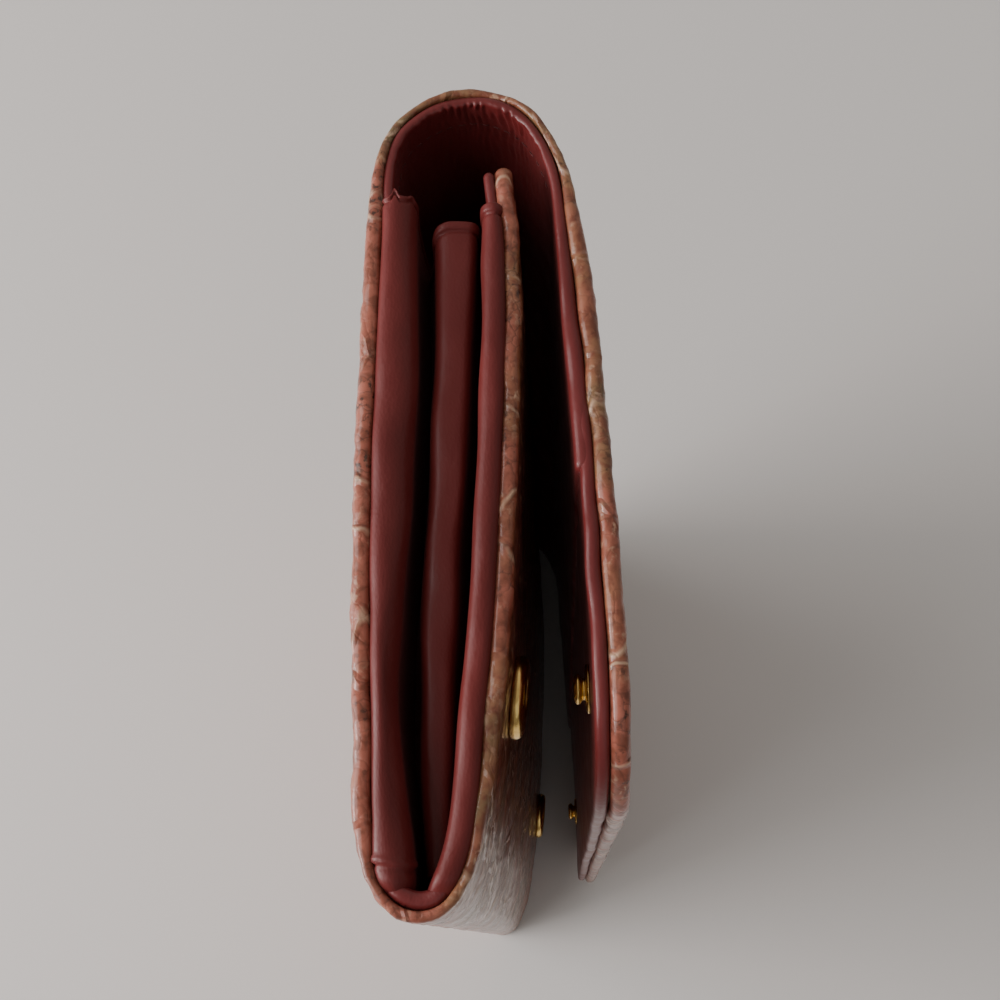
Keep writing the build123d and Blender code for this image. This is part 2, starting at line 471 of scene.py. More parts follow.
    def on_face(self, along: Array, across: Array, inner: bool, lift: float) -> Array:
        """Points a little off one of the layer's faces, away from its edges.

        Args:
            along: Distances along the path.
            across: Heights along the wallet's width.
            inner: Whether the points are on the inner face.
            lift: How far they stand off the face.

        Returns:
            The points, in millimetres.
        """
        depth = self.depth(along) + (self.thick(along) + lift if inner else -lift)
        relief = self.inner_relief if inner else self.outer_relief
        if relief:
            depth = depth + relief(along, across) * (1 if inner else -1)
        return np.concatenate([self.path.under(along, depth), across[..., None]], axis=-1)


def turned(name: str, profile: Sequence[tuple[float, float]], turns: int, place: Matrix) -> bpy.types.Object:
    """A round metal piece, turned from a profile.

    Args:
        name: The object's name.
        profile: (radius, height) points in millimetres, from the axis round to the axis.
        turns: The number of sides.
        place: Where it goes; its axis is the matrix's Z.

    Returns:
        The object.
    """
    points: list[Vector] = []
    rings: list[list[int]] = []
    for radius, height in profile:
        count = 1 if radius == 0 else turns
        ring = []
        for k in range(count):
            angle = math.tau * k / turns
            ring.append(len(points))
            points.append(place @ Vector((radius * math.cos(angle), radius * math.sin(angle), height)) * MM)
        rings.append(ring if count > 1 else ring * turns)
    faces = []
    for low, high in zip(rings, rings[1:]):
        for k in range(turns):
            ring = [low[k], low[(k + 1) % turns], high[(k + 1) % turns], high[k]]
            face = [v for i, v in enumerate(ring) if v != ring[i - 1]]
            if len(face) > 2:
                faces.append(face)
    mesh = bpy.data.meshes.new(name)
    mesh.from_pydata(points, [], faces)
    mesh.shade_smooth()
    return link(bpy.data.objects.new(name, mesh))


def joined(name: str, parts: Sequence[bpy.types.Object]) -> bpy.types.Object:
    """Joins meshes into one object.

    Args:
        name: The joined object's name.
        parts: The objects; they are removed.

    Returns:
        The joined object.
    """
    mesh = bpy.data.meshes.new(name)
    points: list[Vector] = []
    faces: list[list[int]] = []
    for part in parts:
        base = len(points)
        points += [v.co.copy() for v in part.data.vertices]
        faces += [[base + v for v in p.vertices] for p in part.data.polygons]
        bpy.data.objects.remove(part)
    mesh.from_pydata(points, [], faces)
    mesh.shade_smooth()
    return link(bpy.data.objects.new(name, mesh))


def stitches(name: str, line: Array, lift: Array, gap: float, radius: float) -> bpy.types.Object:
    """A row of thread stitches along a line of points.

    Args:
        name: The object's name.
        line: Points along the seam, in millimetres.
        lift: The surface's outward direction at each point.
        gap: The distance from one stitch to the next.
        radius: The thread's radius.

    Returns:
        The object.
    """
    steps = np.r_[0.0, np.cumsum(np.linalg.norm(np.diff(line, axis=0), axis=1))]
    count = max(1, int(steps[-1] / gap))
    points, faces = [], []
    sides, rings = 6, 7
    for k in range(count):
        begin = (k + 0.12) * steps[-1] / count
        finish = (k + 0.88) * steps[-1] / count
        for r, along in enumerate(np.linspace(begin, finish, rings)):
            at = np.array([np.interp(along, steps, line[:, c]) for c in range(3)])
            ahead = np.array([np.interp(along + 0.1, steps, line[:, c]) for c in range(3)]) - at
            up = np.array([np.interp(along, steps, lift[:, c]) for c in range(3)])
            side = np.cross(ahead, up)
            side /= max(np.linalg.norm(side), 1e-9)
            arch = math.sin(math.pi * r / (rings - 1))
            centre = at + up * radius * (1.5 * arch - 0.9)
            thick = radius * (0.45 + 0.55 * arch**0.5)
            for s in range(sides):
                angle = math.tau * s / sides
                points.append((centre + (side * math.cos(angle) + up * math.sin(angle)) * thick) * MM)
        base = len(points) - rings * sides
        for r in range(rings - 1):
            for s in range(sides):
                a, b = base + r * sides + s, base + r * sides + (s + 1) % sides
                faces.append([a, b, b + sides, a + sides])
        faces.append([base + s for s in range(sides)][::-1])
        faces.append([len(points) - sides + s for s in range(sides)])
    mesh = bpy.data.meshes.new(name)
    mesh.from_pydata(points, [], faces)
    mesh.shade_smooth()
    return link(bpy.data.objects.new(name, mesh))


# ---------------------------------------------------------------- finishes


class Nodes:
    """A material's node tree, with short calls for the nodes that the finishes use."""

    def __init__(self, name: str) -> None:
        """Starts a material with one Principled shader.

        Args:
            name: The material's name.
        """
        self.material = bpy.data.materials.new(name)
        self.material.use_nodes = True
        self.tree = self.material.node_tree
        self.shader = self.tree.nodes["Principled BSDF"]

    def add(self, kind: str, **settings: object) -> bpy.types.Node:
        """Adds a node.

        Args:
            kind: The node's type, without its ShaderNode prefix.
            settings: Properties, or input values by name with underscores for spaces.

        Returns:
            The node.
        """
        node = self.tree.nodes.new("ShaderNode" + kind)
        for key, value in settings.items():
            if hasattr(node, key):
                setattr(node, key, value)
            else:
                node.inputs[key.replace("_", " ")].default_value = value
        return node

    def wire(self, source: bpy.types.NodeSocket, target: bpy.types.NodeSocket) -> None:
        """Links two sockets."""
        self.tree.links.new(source, target)

    def set(self, **values: object) -> None:
        """Sets the shader's own sockets."""
        for key, value in values.items():
            self.shader.inputs[key.replace("_", " ")].default_value = value

    def place(self, leather: bool) -> bpy.types.NodeSocket:
        """The coordinate that a finish is laid out by.

        Args:
            leather: Whether to use the place on the leather, and not the object's own frame.

        Returns:
            The coordinate.
        """
        if leather:
            return self.add("Attribute", attribute_name="leather").outputs["Vector"]
        return self.add("TexCoord").outputs["Object"]

    def noise(self, at: bpy.types.NodeSocket, scale: float, detail: float = 3.0,
              distortion: float = 0.0) -> bpy.types.NodeSocket:
        """A noise texture.

        Args:
            at: The coordinate.
            scale: Its scale, for each metre.
            detail: Its number of finer levels.
            distortion: How much it is bent.

        Returns:
            Its value.
        """
        node = self.add("TexNoise", Scale=scale, Detail=detail, Distortion=distortion)
        self.wire(at, node.inputs["Vector"])
        return node.outputs["Fac"]

    def cells(self, at: bpy.types.NodeSocket, scale: float, feature: str = "DISTANCE_TO_EDGE",
              randomness: float = 1.0) -> bpy.types.Node:
        """A cell texture.

        Args:
            at: The coordinate.
            scale: Its scale, for each metre.
            feature: What it measures.
            randomness: How uneven its cells are.

        Returns:
            The node.
        """
        node = self.add("TexVoronoi", feature=feature, Scale=scale, Randomness=randomness)
        self.wire(at, node.inputs["Vector"])
        return node

    def warped(self, at: bpy.types.NodeSocket, scale: float, reach: float) -> bpy.types.NodeSocket:
        """Pushes a coordinate about with noise, so that lines wander.

        Args:
            at: The coordinate.
            scale: The noise's scale.
            reach: How far it pushes, in metres.

        Returns:
            The new coordinate.
        """
        node = self.add("TexNoise", Scale=scale, Detail=2.0)
        self.wire(at, node.inputs["Vector"])
        push = self.add("VectorMath", operation="MULTIPLY_ADD")
        self.wire(node.outputs["Color"], push.inputs[0])
        push.inputs[1].default_value = (reach, reach, reach)
        self.wire(at, push.inputs[2])
        return push.outputs["Vector"]

    def ramp(self, value: bpy.types.NodeSocket, stops: Sequence[tuple[float, tuple[float, ...]]],
             ease: str = "LINEAR") -> bpy.types.NodeSocket:
        """A colour ramp.

        Args:
            value: The value that runs along it.
            stops: Its places and their colours.
            ease: How it goes from stop to stop.

        Returns:
            The colour.
        """
        node = self.add("ValToRGB")
        node.color_ramp.interpolation = ease
        while len(node.color_ramp.elements) < len(stops):
            node.color_ramp.elements.new(0.5)
        for element, (spot, colour) in zip(node.color_ramp.elements, stops):
            element.position = spot
            element.color = (*colour, 1.0)
        self.wire(value, node.inputs["Fac"])
        return node.outputs["Color"]

    def level(self, value: bpy.types.NodeSocket, low: float, high: float,
              to_low: float = 0.0, to_high: float = 1.0) -> bpy.types.NodeSocket:
        """Maps a range of values to another, clamped.

        Args:
            value: The value.
            low: The start of its range.
            high: The end of its range.
            to_low: The result at the start.
            to_high: The result at the end.

        Returns:
            The result.
        """
        node = self.add("MapRange", From_Min=low, From_Max=high, To_Min=to_low, To_Max=to_high)
        self.wire(value, node.inputs["Value"])
        return node.outputs["Result"]

    def math(self, kind: str, one: bpy.types.NodeSocket, two: bpy.types.NodeSocket | float
             ) -> bpy.types.NodeSocket:
        """Works out one value from two.

        Args:
            kind: The operation.
            one: The first value.
            two: The second value, or a number.

        Returns:
            The result.
        """
        node = self.add("Math", operation=kind)
        self.wire(one, node.inputs[0])
        if isinstance(two, bpy.types.NodeSocket):
            self.wire(two, node.inputs[1])
        else:
            node.inputs[1].default_value = two
        return node.outputs["Value"]

    def mix(self, factor: bpy.types.NodeSocket | float, one: object, two: object,
            blend: str = "MIX") -> bpy.types.NodeSocket:
        """Mixes two colours.

        Args:
            factor: How much of the second to take.
            one: The first colour, a socket or three numbers.
            two: The second colour.
            blend: The way they mix.

        Returns:
            The mixed colour.
        """
        node = self.add("Mix", data_type="RGBA", blend_type=blend)
        for socket, value in ((node.inputs[0], factor), (node.inputs[6], one), (node.inputs[7], two)):
            if isinstance(value, bpy.types.NodeSocket):
                self.wire(value, socket)
            elif isinstance(value, tuple):
                socket.default_value = (*value, 1.0)
            else:
                socket.default_value = value
        return node.outputs[2]

    def bump(self, height: bpy.types.NodeSocket, distance: float, strength: float = 1.0,
             under: bpy.types.NodeSocket | None = None) -> bpy.types.NodeSocket:
        """A bump, on top of another if there is one.

        Args:
            height: The relief, from 0 to 1.
            distance: How high 1 is, in metres.
            strength: How much of it shows.
            under: The bump below it.

        Returns:
            The surface's direction.
        """
        node = self.add("Bump", Distance=distance, Strength=strength)
        self.wire(height, node.inputs["Height"])
        if under:
            self.wire(under, node.inputs["Normal"])
        return node.outputs["Normal"]


Colour = tuple[float, float, float]


@dataclass(frozen=True)
class PatentLeather:
    """Glossy embossed leather: thin cream veins over mottled coral, tan, olive and cream patches."""

    coral: Colour = (0.345, 0.105, 0.068)
    rust: Colour = (0.175, 0.050, 0.028)
    tan: Colour = (0.27, 0.118, 0.058)
    olive: Colour = (0.19, 0.130, 0.062)
    cream: Colour = (0.64, 0.43, 0.29)
    crack: Colour = (0.06, 0.022, 0.014)
    plate: float = 80.0
    crackle: float = 430.0
    patch: float = 70.0
    mottle: float = 620.0
    speck: float = 1100.0
    grain: float = 900.0
    wrinkle: float = 480.0
    reach: float = 310.0
    leans: tuple[tuple[float, float], ...] = (
        (0.0, 0.42), (12.0, 0.45), (22.0, 0.36), (40.0, 0.46), (70.0, 0.38), (88.0, 0.29), (98.0, 0.58),
        (110.0, 0.42), (120.0, 0.52), (160.0, 0.50), (176.0, 0.48), (182.0, 0.62), (190.0, 0.29),
        (205.0, 0.30), (225.0, 0.32), (240.0, 0.44), (252.0, 0.30), (265.0, 0.44), (300.0, 0.42),
        (310.0, 0.60),
    )

    def make(self) -> bpy.types.Material:
        """Builds the material.

        Returns:
            The material.
        """
        n = Nodes("patent_leather")
        at = n.place(True)
        wandering = n.warped(at, 150.0, 0.005)
        split = n.add("SeparateXYZ")
        n.wire(at, split.inputs["Vector"])
        share = n.level(split.outputs["X"], 0.0, 0.001 * self.reach)
        lean = n.ramp(share, [(s / self.reach, (v, v, v)) for s, v in self.leans])
        patches = n.math("ADD", n.math("MULTIPLY", n.noise(at, self.patch, 4.0, 0.8), 0.55), lean)
        base = n.ramp(patches, [
            (0.50, self.olive), (0.62, self.tan), (0.72, self.coral), (0.88, self.coral), (1.0, self.cream),
        ])
        mottle = n.level(n.noise(at, self.mottle, 6.0, 0.5), 0.43, 0.62)
        mottled = n.mix(n.math("MULTIPLY", mottle, 0.85), base, self.rust)
        specks = n.level(n.noise(at, self.speck, 4.0), 0.57, 0.66)
        where = n.level(n.noise(at, 60.0, 3.0), 0.46, 0.60)
        specked = n.mix(n.math("MULTIPLY", specks, where), mottled, self.crack)
        grains = n.level(n.noise(at, self.grain, 4.0, 0.4), 0.54, 0.66, 0.0, 0.55)
        pale = n.level(n.noise(at, 110.0, 3.0), 0.48, 0.62)
        specked = n.mix(n.math("MULTIPLY", grains, pale), specked, self.cream)
        edge = n.cells(wandering, self.plate).outputs["Distance"]
        vein = n.level(edge, 0.006, 0.030, 1.0, 0.0)
        broken = n.math("MULTIPLY", vein, n.level(n.noise(at, 240.0, 3.0), 0.44, 0.62, 0.0, 0.7))
        veined = n.mix(broken, specked, self.cream)
        crackle = n.cells(n.warped(at, 600.0, 0.0016), self.crackle).outputs["Distance"]
        cracked = n.math("MULTIPLY", n.level(crackle, 0.0, 0.05, 0.55, 0.0), where)
        n.wire(n.mix(cracked, veined, self.crack), n.shader.inputs["Base Color"])
        n.wire(n.level(n.noise(at, 260.0, 3.0), 0.3, 0.7, 0.30, 0.50), n.shader.inputs["Roughness"])
        dome = n.bump(n.level(edge, 0.0, 0.30), 0.00055, 0.7)
        coarse = n.bump(n.level(edge, 0.0, 0.05, 1.0, 0.0), 0.00030, 0.8, dome)
        wrinkle = n.bump(n.noise(at, self.wrinkle, 4.0), 0.00030, 0.55, coarse)
        n.wire(n.bump(n.level(crackle, 0.0, 0.10), 0.00012, 0.35, wrinkle), n.shader.inputs["Normal"])
        n.wire(n.bump(n.noise(at, 200.0, 2.0), 0.00020, 0.35, coarse), n.shader.inputs["Coat Normal"])
        n.set(Coat_Weight=0.60, Coat_Roughness=0.08, Coat_IOR=1.45, Specular_IOR_Level=0.25)
        return n.material


@dataclass(frozen=True)
class SmoothLeather:
    """Burgundy lining leather with a soft sheen and a fine grain."""

    name: str = "lining_leather"
    base: Colour = (0.125, 0.015, 0.015)
    worn: Colour = (0.170, 0.024, 0.024)
    rough: float = 0.40
    gloss: float = 0.30
    on_sheet: bool = True

    def make(self) -> bpy.types.Material:
        """Builds the material.

        Returns:
            The material.
        """
        n = Nodes(self.name)
        at = n.place(self.on_sheet)
        cloud = n.level(n.noise(at, 60.0, 4.0), 0.35, 0.70)
        n.wire(n.mix(cloud, self.base, self.worn), n.shader.inputs["Base Color"])
        low, high = self.rough - 0.07, self.rough + 0.09
        n.wire(n.level(n.noise(at, 240.0, 3.0), 0.3, 0.7, low, high), n.shader.inputs["Roughness"])
        grain = n.cells(at, 1900.0, "F1", 0.9).outputs["Distance"]
        soft = n.bump(n.noise(at, 300.0, 3.0), 0.00025, 0.5)
        n.wire(n.bump(grain, 0.00005, 0.45, soft), n.shader.inputs["Normal"])
        n.set(Coat_Weight=self.gloss, Coat_Roughness=0.22, Sheen_Weight=0.04, Sheen_Roughness=0.45)
        n.set(Specular_IOR_Level=0.30)
        n.shader.inputs["Sheen Tint"].default_value = (1.0, 0.62, 0.62, 1.0)
        return n.material


@dataclass(frozen=True)
class Metal:
    """Polished or plain metal with faint wear."""

    name: str
    colour: Colour
    dull: Colour
    rough: float

    def make(self) -> bpy.types.Material:
        """Builds the material.

        Returns:
            The material.
        """
        n = Nodes(self.name)
        at = n.place(False)
        wear = n.noise(at, 900.0, 4.0)
        n.wire(n.mix(n.level(wear, 0.45, 0.75), self.colour, self.dull), n.shader.inputs["Base Color"])
        n.wire(n.level(wear, 0.3, 0.8, self.rough, self.rough + 0.16), n.shader.inputs["Roughness"])
        n.wire(n.bump(n.noise(at, 2600.0, 2.0), 0.00002, 0.4), n.shader.inputs["Normal"])
        n.set(Metallic=1.0)
        return n.material


@dataclass(frozen=True)
class FibreBoard:
    """Bonded leather board: pale brown with flecks of fibre."""

    base: Colour = (0.30, 0.20, 0.12)
    fleck: Colour = (0.45, 0.33, 0.21)

    def make(self) -> bpy.types.Material:
        """Builds the material.

        Returns:
            The material.
        """
        n = Nodes("stiffener_board")
        at = n.place(False)
        flecks = n.level(n.noise(at, 1500.0, 5.0, 1.0), 0.45, 0.70)
        n.wire(n.mix(flecks, self.base, self.fleck), n.shader.inputs["Base Color"])
        n.wire(n.bump(n.noise(at, 1500.0, 4.0), 0.00006, 0.6), n.shader.inputs["Normal"])
        n.set(Roughness=0.85)
        return n.material


@dataclass(frozen=True)
class Thread:
    """Waxed sewing thread, twisted from fine strands."""

    colour: Colour = (0.055, 0.010, 0.010)
    light: Colour = (0.10, 0.020, 0.018)

    def make(self) -> bpy.types.Material:
        """Builds the material.

        Returns:
            The material.
        """
        n = Nodes("thread")
        at = n.place(False)
        twist = n.add("TexWave", Scale=1400.0, Distortion=1.5, bands_direction="DIAGONAL")
        n.wire(at, twist.inputs["Vector"])
        n.wire(n.mix(twist.outputs["Fac"], self.colour, self.light), n.shader.inputs["Base Color"])
        n.wire(n.bump(twist.outputs["Fac"], 0.00005, 0.7), n.shader.inputs["Normal"])
        n.set(Roughness=0.75)
        return n.material


@dataclass(frozen=True)
class TableTop:
    """The plain pale surface under the wallet."""

    colour: Colour = (0.67, 0.655, 0.64)

    def make(self) -> bpy.types.Material:
        """Builds the material.

        Returns:
            The material.
        """
        n = Nodes("table_top")
        at = n.place(False)
        cloud = n.level(n.noise(at, 1.2, 2.0), 0.3, 0.7, 0.97, 1.03)
        shade = n.add("VectorMath", operation="SCALE")
        shade.inputs[0].default_value = self.colour
        n.wire(cloud, shade.inputs["Scale"])
        n.wire(shade.outputs["Vector"], n.shader.inputs["Base Color"])
        n.set(Roughness=0.62)
        return n.material


class Finish(Enum):
    """The finishes, each with the record's material slot that it belongs to."""

    PATENT = "patent_leather"
    LINING = "lining_leather"
    GUSSET = "gusset_leather"
    POCKET = "pocket_leather"
    BOARD = "stiffener_board"
    GOLD = "gold_metal"
    SPRING = "spring_wire"
    RIVET = "rivet_brass"
    THREAD = "thread"


class Wardrobe:
    """Makes each finish once and dresses the pieces with it."""

    def __init__(self) -> None:
        """Builds the materials."""
        self.made = {
            Finish.PATENT: PatentLeather().make(),
            Finish.LINING: SmoothLeather().make(),
            Finish.GUSSET: SmoothLeather(
                "gusset_leather", (0.108, 0.0128, 0.0118), (0.150, 0.0200, 0.0185), 0.46, 0.08).make(),
            Finish.POCKET: SmoothLeather(
                "pocket_leather", (0.095, 0.012, 0.0115), (0.135, 0.019, 0.018), 0.46, 0.10).make(),
            Finish.BOARD: FibreBoard().make(),
            Finish.GOLD: Metal("gold_metal", (0.92, 0.64, 0.22), (0.70, 0.46, 0.15), 0.14).make(),
            Finish.SPRING: Metal("spring_wire", (0.75, 0.70, 0.58), (0.5, 0.45, 0.36), 0.25).make(),
            Finish.RIVET: Metal("rivet_brass", (0.72, 0.52, 0.24), (0.48, 0.33, 0.15), 0.32).make(),
            Finish.THREAD: Thread().make(),
        }

    def dress(self, thing: bpy.types.Object, finish: Finish) -> bpy.types.Object:
        """Gives an object its finish.

        Args:
            thing: The object.
            finish: The finish.

        Returns:
            The same object.
        """
        thing.data.materials.clear()
        thing.data.materials.append(self.made[finish])
        LOG.info("%s: %s", thing.name, finish.value)
        return thing


# ---------------------------------------------------------------- the wallet's walls


@dataclass
class Fold:
    """A line where the leather bends between two bodies.

    Attributes:
        first: The body before the fold.
        second: The body after it.
        along: Where it is along the sheet.
        reach: How far the bend spreads on each side of it.
    """

    first: str
    second: str
    along: float
    reach: float


@dataclass
class Walls:
    """The line that the wallet's one outer sheet follows, and the thickness of what lies under it.

    The sheet starts at the front wall's tip, goes down and round the bottom fold, up the back wall and
    over the spine arch, and ends at the flap's free edge.
    """

    front: Sequence[tuple[float, float]] = (
        (4.0, 38.9), (4.8, 27.0), (4.7, 16.0), (3.6, -4.0), (2.0, -24.0), (0.2, -36.0),
    )
    skin: Sequence[tuple[float, float]] = (
        (-2.8, -46.6), (-4.6, -49.1), (-7.4, -50.0), (-10.8, -48.8), (-13.4, -45.0),
        (-14.7, -35.0), (-15.1, -15.0), (-14.7, 12.0), (-14.1, 28.0), (-13.2, 38.5),
        (-11.3, 44.3), (-7.6, 48.0), (-1.5, 50.0), (5.0, 48.1), (9.4, 42.2),
        (12.2, 32.0), (13.8, 16.0), (14.7, -4.0), (15.1, -24.0), (14.8, -39.2),
    )
    panel: float = 2.2
    soft_panel: float = 0.9
    lining: float = 1.7
    soft_lining: float = 1.25
    bottom_lining: float = 1.95
    front_lining: float = 1.35

    def __post_init__(self) -> None:
        """Finds the folds and the stiff stretches."""
        self.sheet = Path([*self.front, *self.skin])
        at = self.sheet.station
        self.foot = at((0.2, -37.5))
        self.bottom = at((-7.4, -50.0))
        self.heel = at((-14.0, -41.0))
        self.shoulder = at((-13.3, 37.5))
        self.flap_top = at((11.8, 34.0))
        pins = [joint["pos_m"] for joint in frame["joints"]]
        names = ["back", "spine_1", "spine_2", "spine_3", "flap"]
        places = [at((pin[0] / MM, pin[1] / MM)) for pin in pins[:4]]
        reach = min(b - a for a, b in zip(places, places[1:])) / 2
        LOG.info("spine folds at %s, reach %.2f", [round(place, 2) for place in places], reach)
        self.folds = [Fold(names[k], names[k + 1], places[k], reach) for k in range(4)]
        self.front_fold = Fold("front_wall", "divider", at((-2.6, -46.2)), 3.0)
        self.bottom_fold = Fold("divider", "back", at((-7.2, -50.0)), 2.6)

    def stiff(self, along: Array, ease: float) -> Array:
        """1 where a board lies in the wall and 0 where there is only leather.

        Args:
            along: Distances along the sheet.
            ease: How far the change reaches into the spine arch.

        Returns:
            One value for each distance.
        """
        front = 1 - smooth_step(along, self.foot - 12.0, self.foot + 8.0)
        back = smooth_step(along, self.heel - 6.0, self.heel + 2.0)
        back = back * (1 - smooth_step(along, self.shoulder - ease, self.shoulder + 10.0))
        return front + back + smooth_step(along, self.flap_top - 10.0, self.flap_top + ease)

    def panel_depth(self, along: Array) -> Array:
        """The thickness of the outer leather with its board."""
        soft = self.soft_panel + 0.3 * (1 - smooth_step(along, self.heel, self.heel + 20.0))
        return soft + (self.panel - soft) * self.stiff(along, 9.0)

    def lining_thick(self, along: Array) -> Array:
        """The thickness of the lining, which is full where it is padded by a board or turned under.

        Args:
            along: Distances along the sheet.

        Returns:
            One thickness for each distance.
        """
        wall = self.soft_lining + (self.lining - self.soft_lining) * self.stiff(along, 24.0)
        front = 1 - smooth_step(along, self.foot, self.foot + 8.0)
        low = hump(along, self.bottom - 2.0, self.bottom + 2.0, 7.0)
        wall = wall + (self.bottom_lining - wall) * low
        return wall + (self.front_lining - wall) * front

    def across_at(self, low: float, high: float, height: Array) -> Array:
        """The X of a wall's inside face, under the outer leather, at given heights.

        Args:
            low: The start of the wall's stretch of the sheet.
            high: The end of that stretch.
            height: The heights, in Y.

        Returns:
            One X for each height.
        """
        along = np.linspace(low, high, 400)
        line = self.sheet.under(along, self.panel_depth(along))
        order = np.argsort(line[:, 1])
        return np.interp(height, line[order, 1], line[order, 0])

    def point(self, along: float, depth: float = 0.0) -> tuple[float, float, float]:
        """A point of the sheet's line in metres, halfway along the wallet's width."""
        x, y = self.sheet.under(np.array(along), np.array(depth))
        return (float(x) * MM, float(y) * MM, WIDTH / 2 * MM)


class Hide:
    """The unevenness of the outer leather: soft plates, creases and a lumpy turned edge."""

    LIFT = (-0.03, 0.04)
    CREASE = 0.07
    CREASE_WIDTH = 2.2
    CHUNK = 4000

    def __init__(self, seed: int, plate: float = 9.0) -> None:
        """Scatters the plates' centres.

        Args:
            seed: Which scatter it is.
            plate: The rough size of a plate.
        """
        rng = np.random.default_rng(seed)
        along = np.arange(-10.0, 300.0, plate)
        across = np.arange(-10.0, WIDTH + 10.0, plate)
        grid = np.stack(np.meshgrid(along, across, indexing="ij"), axis=-1).reshape(-1, 2)
        self.centres = grid + rng.uniform(-0.42, 0.42, grid.shape) * plate
        self.lifts = rng.uniform(*self.LIFT, len(grid))

    def relief(self, along: Array, across: Array) -> Array:
        """The lift of the skin.

        Args:
            along: Distances along the sheet.
            across: Heights along the wallet's width.

        Returns:
            One lift for each place, in millimetres.
        """
        flat = np.stack([along.ravel(), across.ravel()], axis=1)
        out = np.zeros(len(flat))
        for chunk in np.array_split(np.arange(len(flat)), max(1, len(flat) // self.CHUNK)):
            gaps = np.linalg.norm(flat[chunk, None, :] - self.centres[None], axis=2)
            two = np.argpartition(gaps, 1, axis=1)[:, :2]
            pair = np.take_along_axis(gaps, two, axis=1)
            rank = np.argsort(pair, axis=1)
            pair = np.take_along_axis(pair, rank, axis=1)
            nearest = np.take_along_axis(two, rank, axis=1)[:, 0]
            border = smooth_step(pair[:, 1] - pair[:, 0], 0.0, self.CREASE_WIDTH)
            out[chunk] = self.CREASE * border - 0.05 + self.lifts[nearest] * border
        fine = 0.05 * unevenness(41, 2.4, along, across) + 0.05 * unevenness(43, 14.0, along, across)
        return out.reshape(along.shape) + fine


@dataclass
class OuterShell:
    """The patent outer leather, one sheet cut only where two bodies meet."""

    walls: Walls
    wardrobe: Wardrobe
    flap_corner: float = 15.0
    tip_corner: float = 1.3

    def build(self) -> None:
        """Makes the sheet, cuts it at the folds and dresses each piece."""
        walls = self.walls
        hide = Hide(11)
        sheet = Layer(
            walls.sheet, 0.0, walls.sheet.length,
            depth=lambda s: np.zeros_like(s), thick=walls.panel_depth,
            start_corner=self.tip_corner, end_corner=self.flap_corner,
            step=0.75, fine=0.4, outer_relief=hide.relief, waver=0.11, seed=3, square=2.2,
        )
        cut_and_fold(sheet, walls, self.wardrobe, Finish.PATENT, "outer", {
            "front": ["outer_front"], "back": ["outer_back", "outer_bottom"], "flap": ["outer_flap"],
            "fold_1": ["outer_spine_1"], "fold_2": ["outer_spine_2"], "fold_4": ["outer_spine_3"],
        })


SPINE_MARGIN = 4.2
FRONT_MARGIN = 4.0
BOTTOM_MARGIN = 3.4


def spine_borders(folds: Sequence[Fold]) -> list[float]:
    """Where the sheets are cut round the spine arch: before, between and after its folds.

    Args:
        folds: The spine's folds, in order.

    Returns:
        The distances along the sheet, one more than the folds.
    """
    middles = [(a.along + b.along) / 2 for a, b in zip(folds, folds[1:])]
    return [folds[0].along - SPINE_MARGIN, *middles, folds[-1].along + SPINE_MARGIN]


def cut_and_fold(sheet: Layer, walls: Walls, wardrobe: Wardrobe, finish: Finish, prefix: str,
                 stands_for: dict[str, list[str]]) -> None:
    """Cuts a sheet at the bodies' borders and makes each piece ride on its body, or stay where it is at a
    fold.

    Args:
        sheet: The layer that follows the walls' line.
        walls: The walls.
        wardrobe: The finishes.
        finish: The sheet's finish.
        prefix: The start of the pieces' names.
        stands_for: The CAD nodes that each piece replaces, by the end of its name.
    """
    slab = sheet.slab()
    borders = spine_borders(walls.folds)
    front_cut = walls.front_fold.along - FRONT_MARGIN
    fold_cut = (walls.front_fold.along + walls.bottom_fold.along) / 2
    bottom_cut = walls.bottom_fold.along + BOTTOM_MARGIN
    stretches = [
        ("front", sheet.start, front_cut, "front_wall", None),
        ("front_fold", front_cut, fold_cut, None, walls.front_fold),
        ("bottom_fold", fold_cut, bottom_cut, None, walls.bottom_fold),
        ("back", bottom_cut, borders[0], "back", None),
        *[(f"fold_{k + 1}", borders[k], borders[k + 1], None, fold) for k, fold in enumerate(walls.folds)],
        ("flap", borders[-1], sheet.end, "flap", None),
    ]
    for part, low, high, body, fold in stretches:
        if high <= sheet.start or low >= sheet.end:
            continue
        thing = slab.piece(f"{prefix}_{part}_leather", sheet.row_at(low), sheet.row_at(high))
        wardrobe.dress(thing, finish)
        if stands_for.get(part):
            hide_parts(*stands_for[part])
        bend_or_ride(thing, walls, body, fold)


def bend_or_ride(thing: bpy.types.Object, walls: Walls, body: str | None, fold: Fold | None) -> None:
    """Makes a piece ride on a body, or leaves a piece at a fold where it is, with its transform baked into
    its mesh.

    Args:
        thing: The piece.
        walls: The walls.
        body: The body that it rides on, or None at a fold.
        fold: The fold that it lies across; the points at its two ends are worked out but not used.
    """
    if body:
        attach(thing, body)
    else:
        start = walls.point(fold.along - fold.reach)
        end = walls.point(fold.along + fold.reach)
        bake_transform(thing)


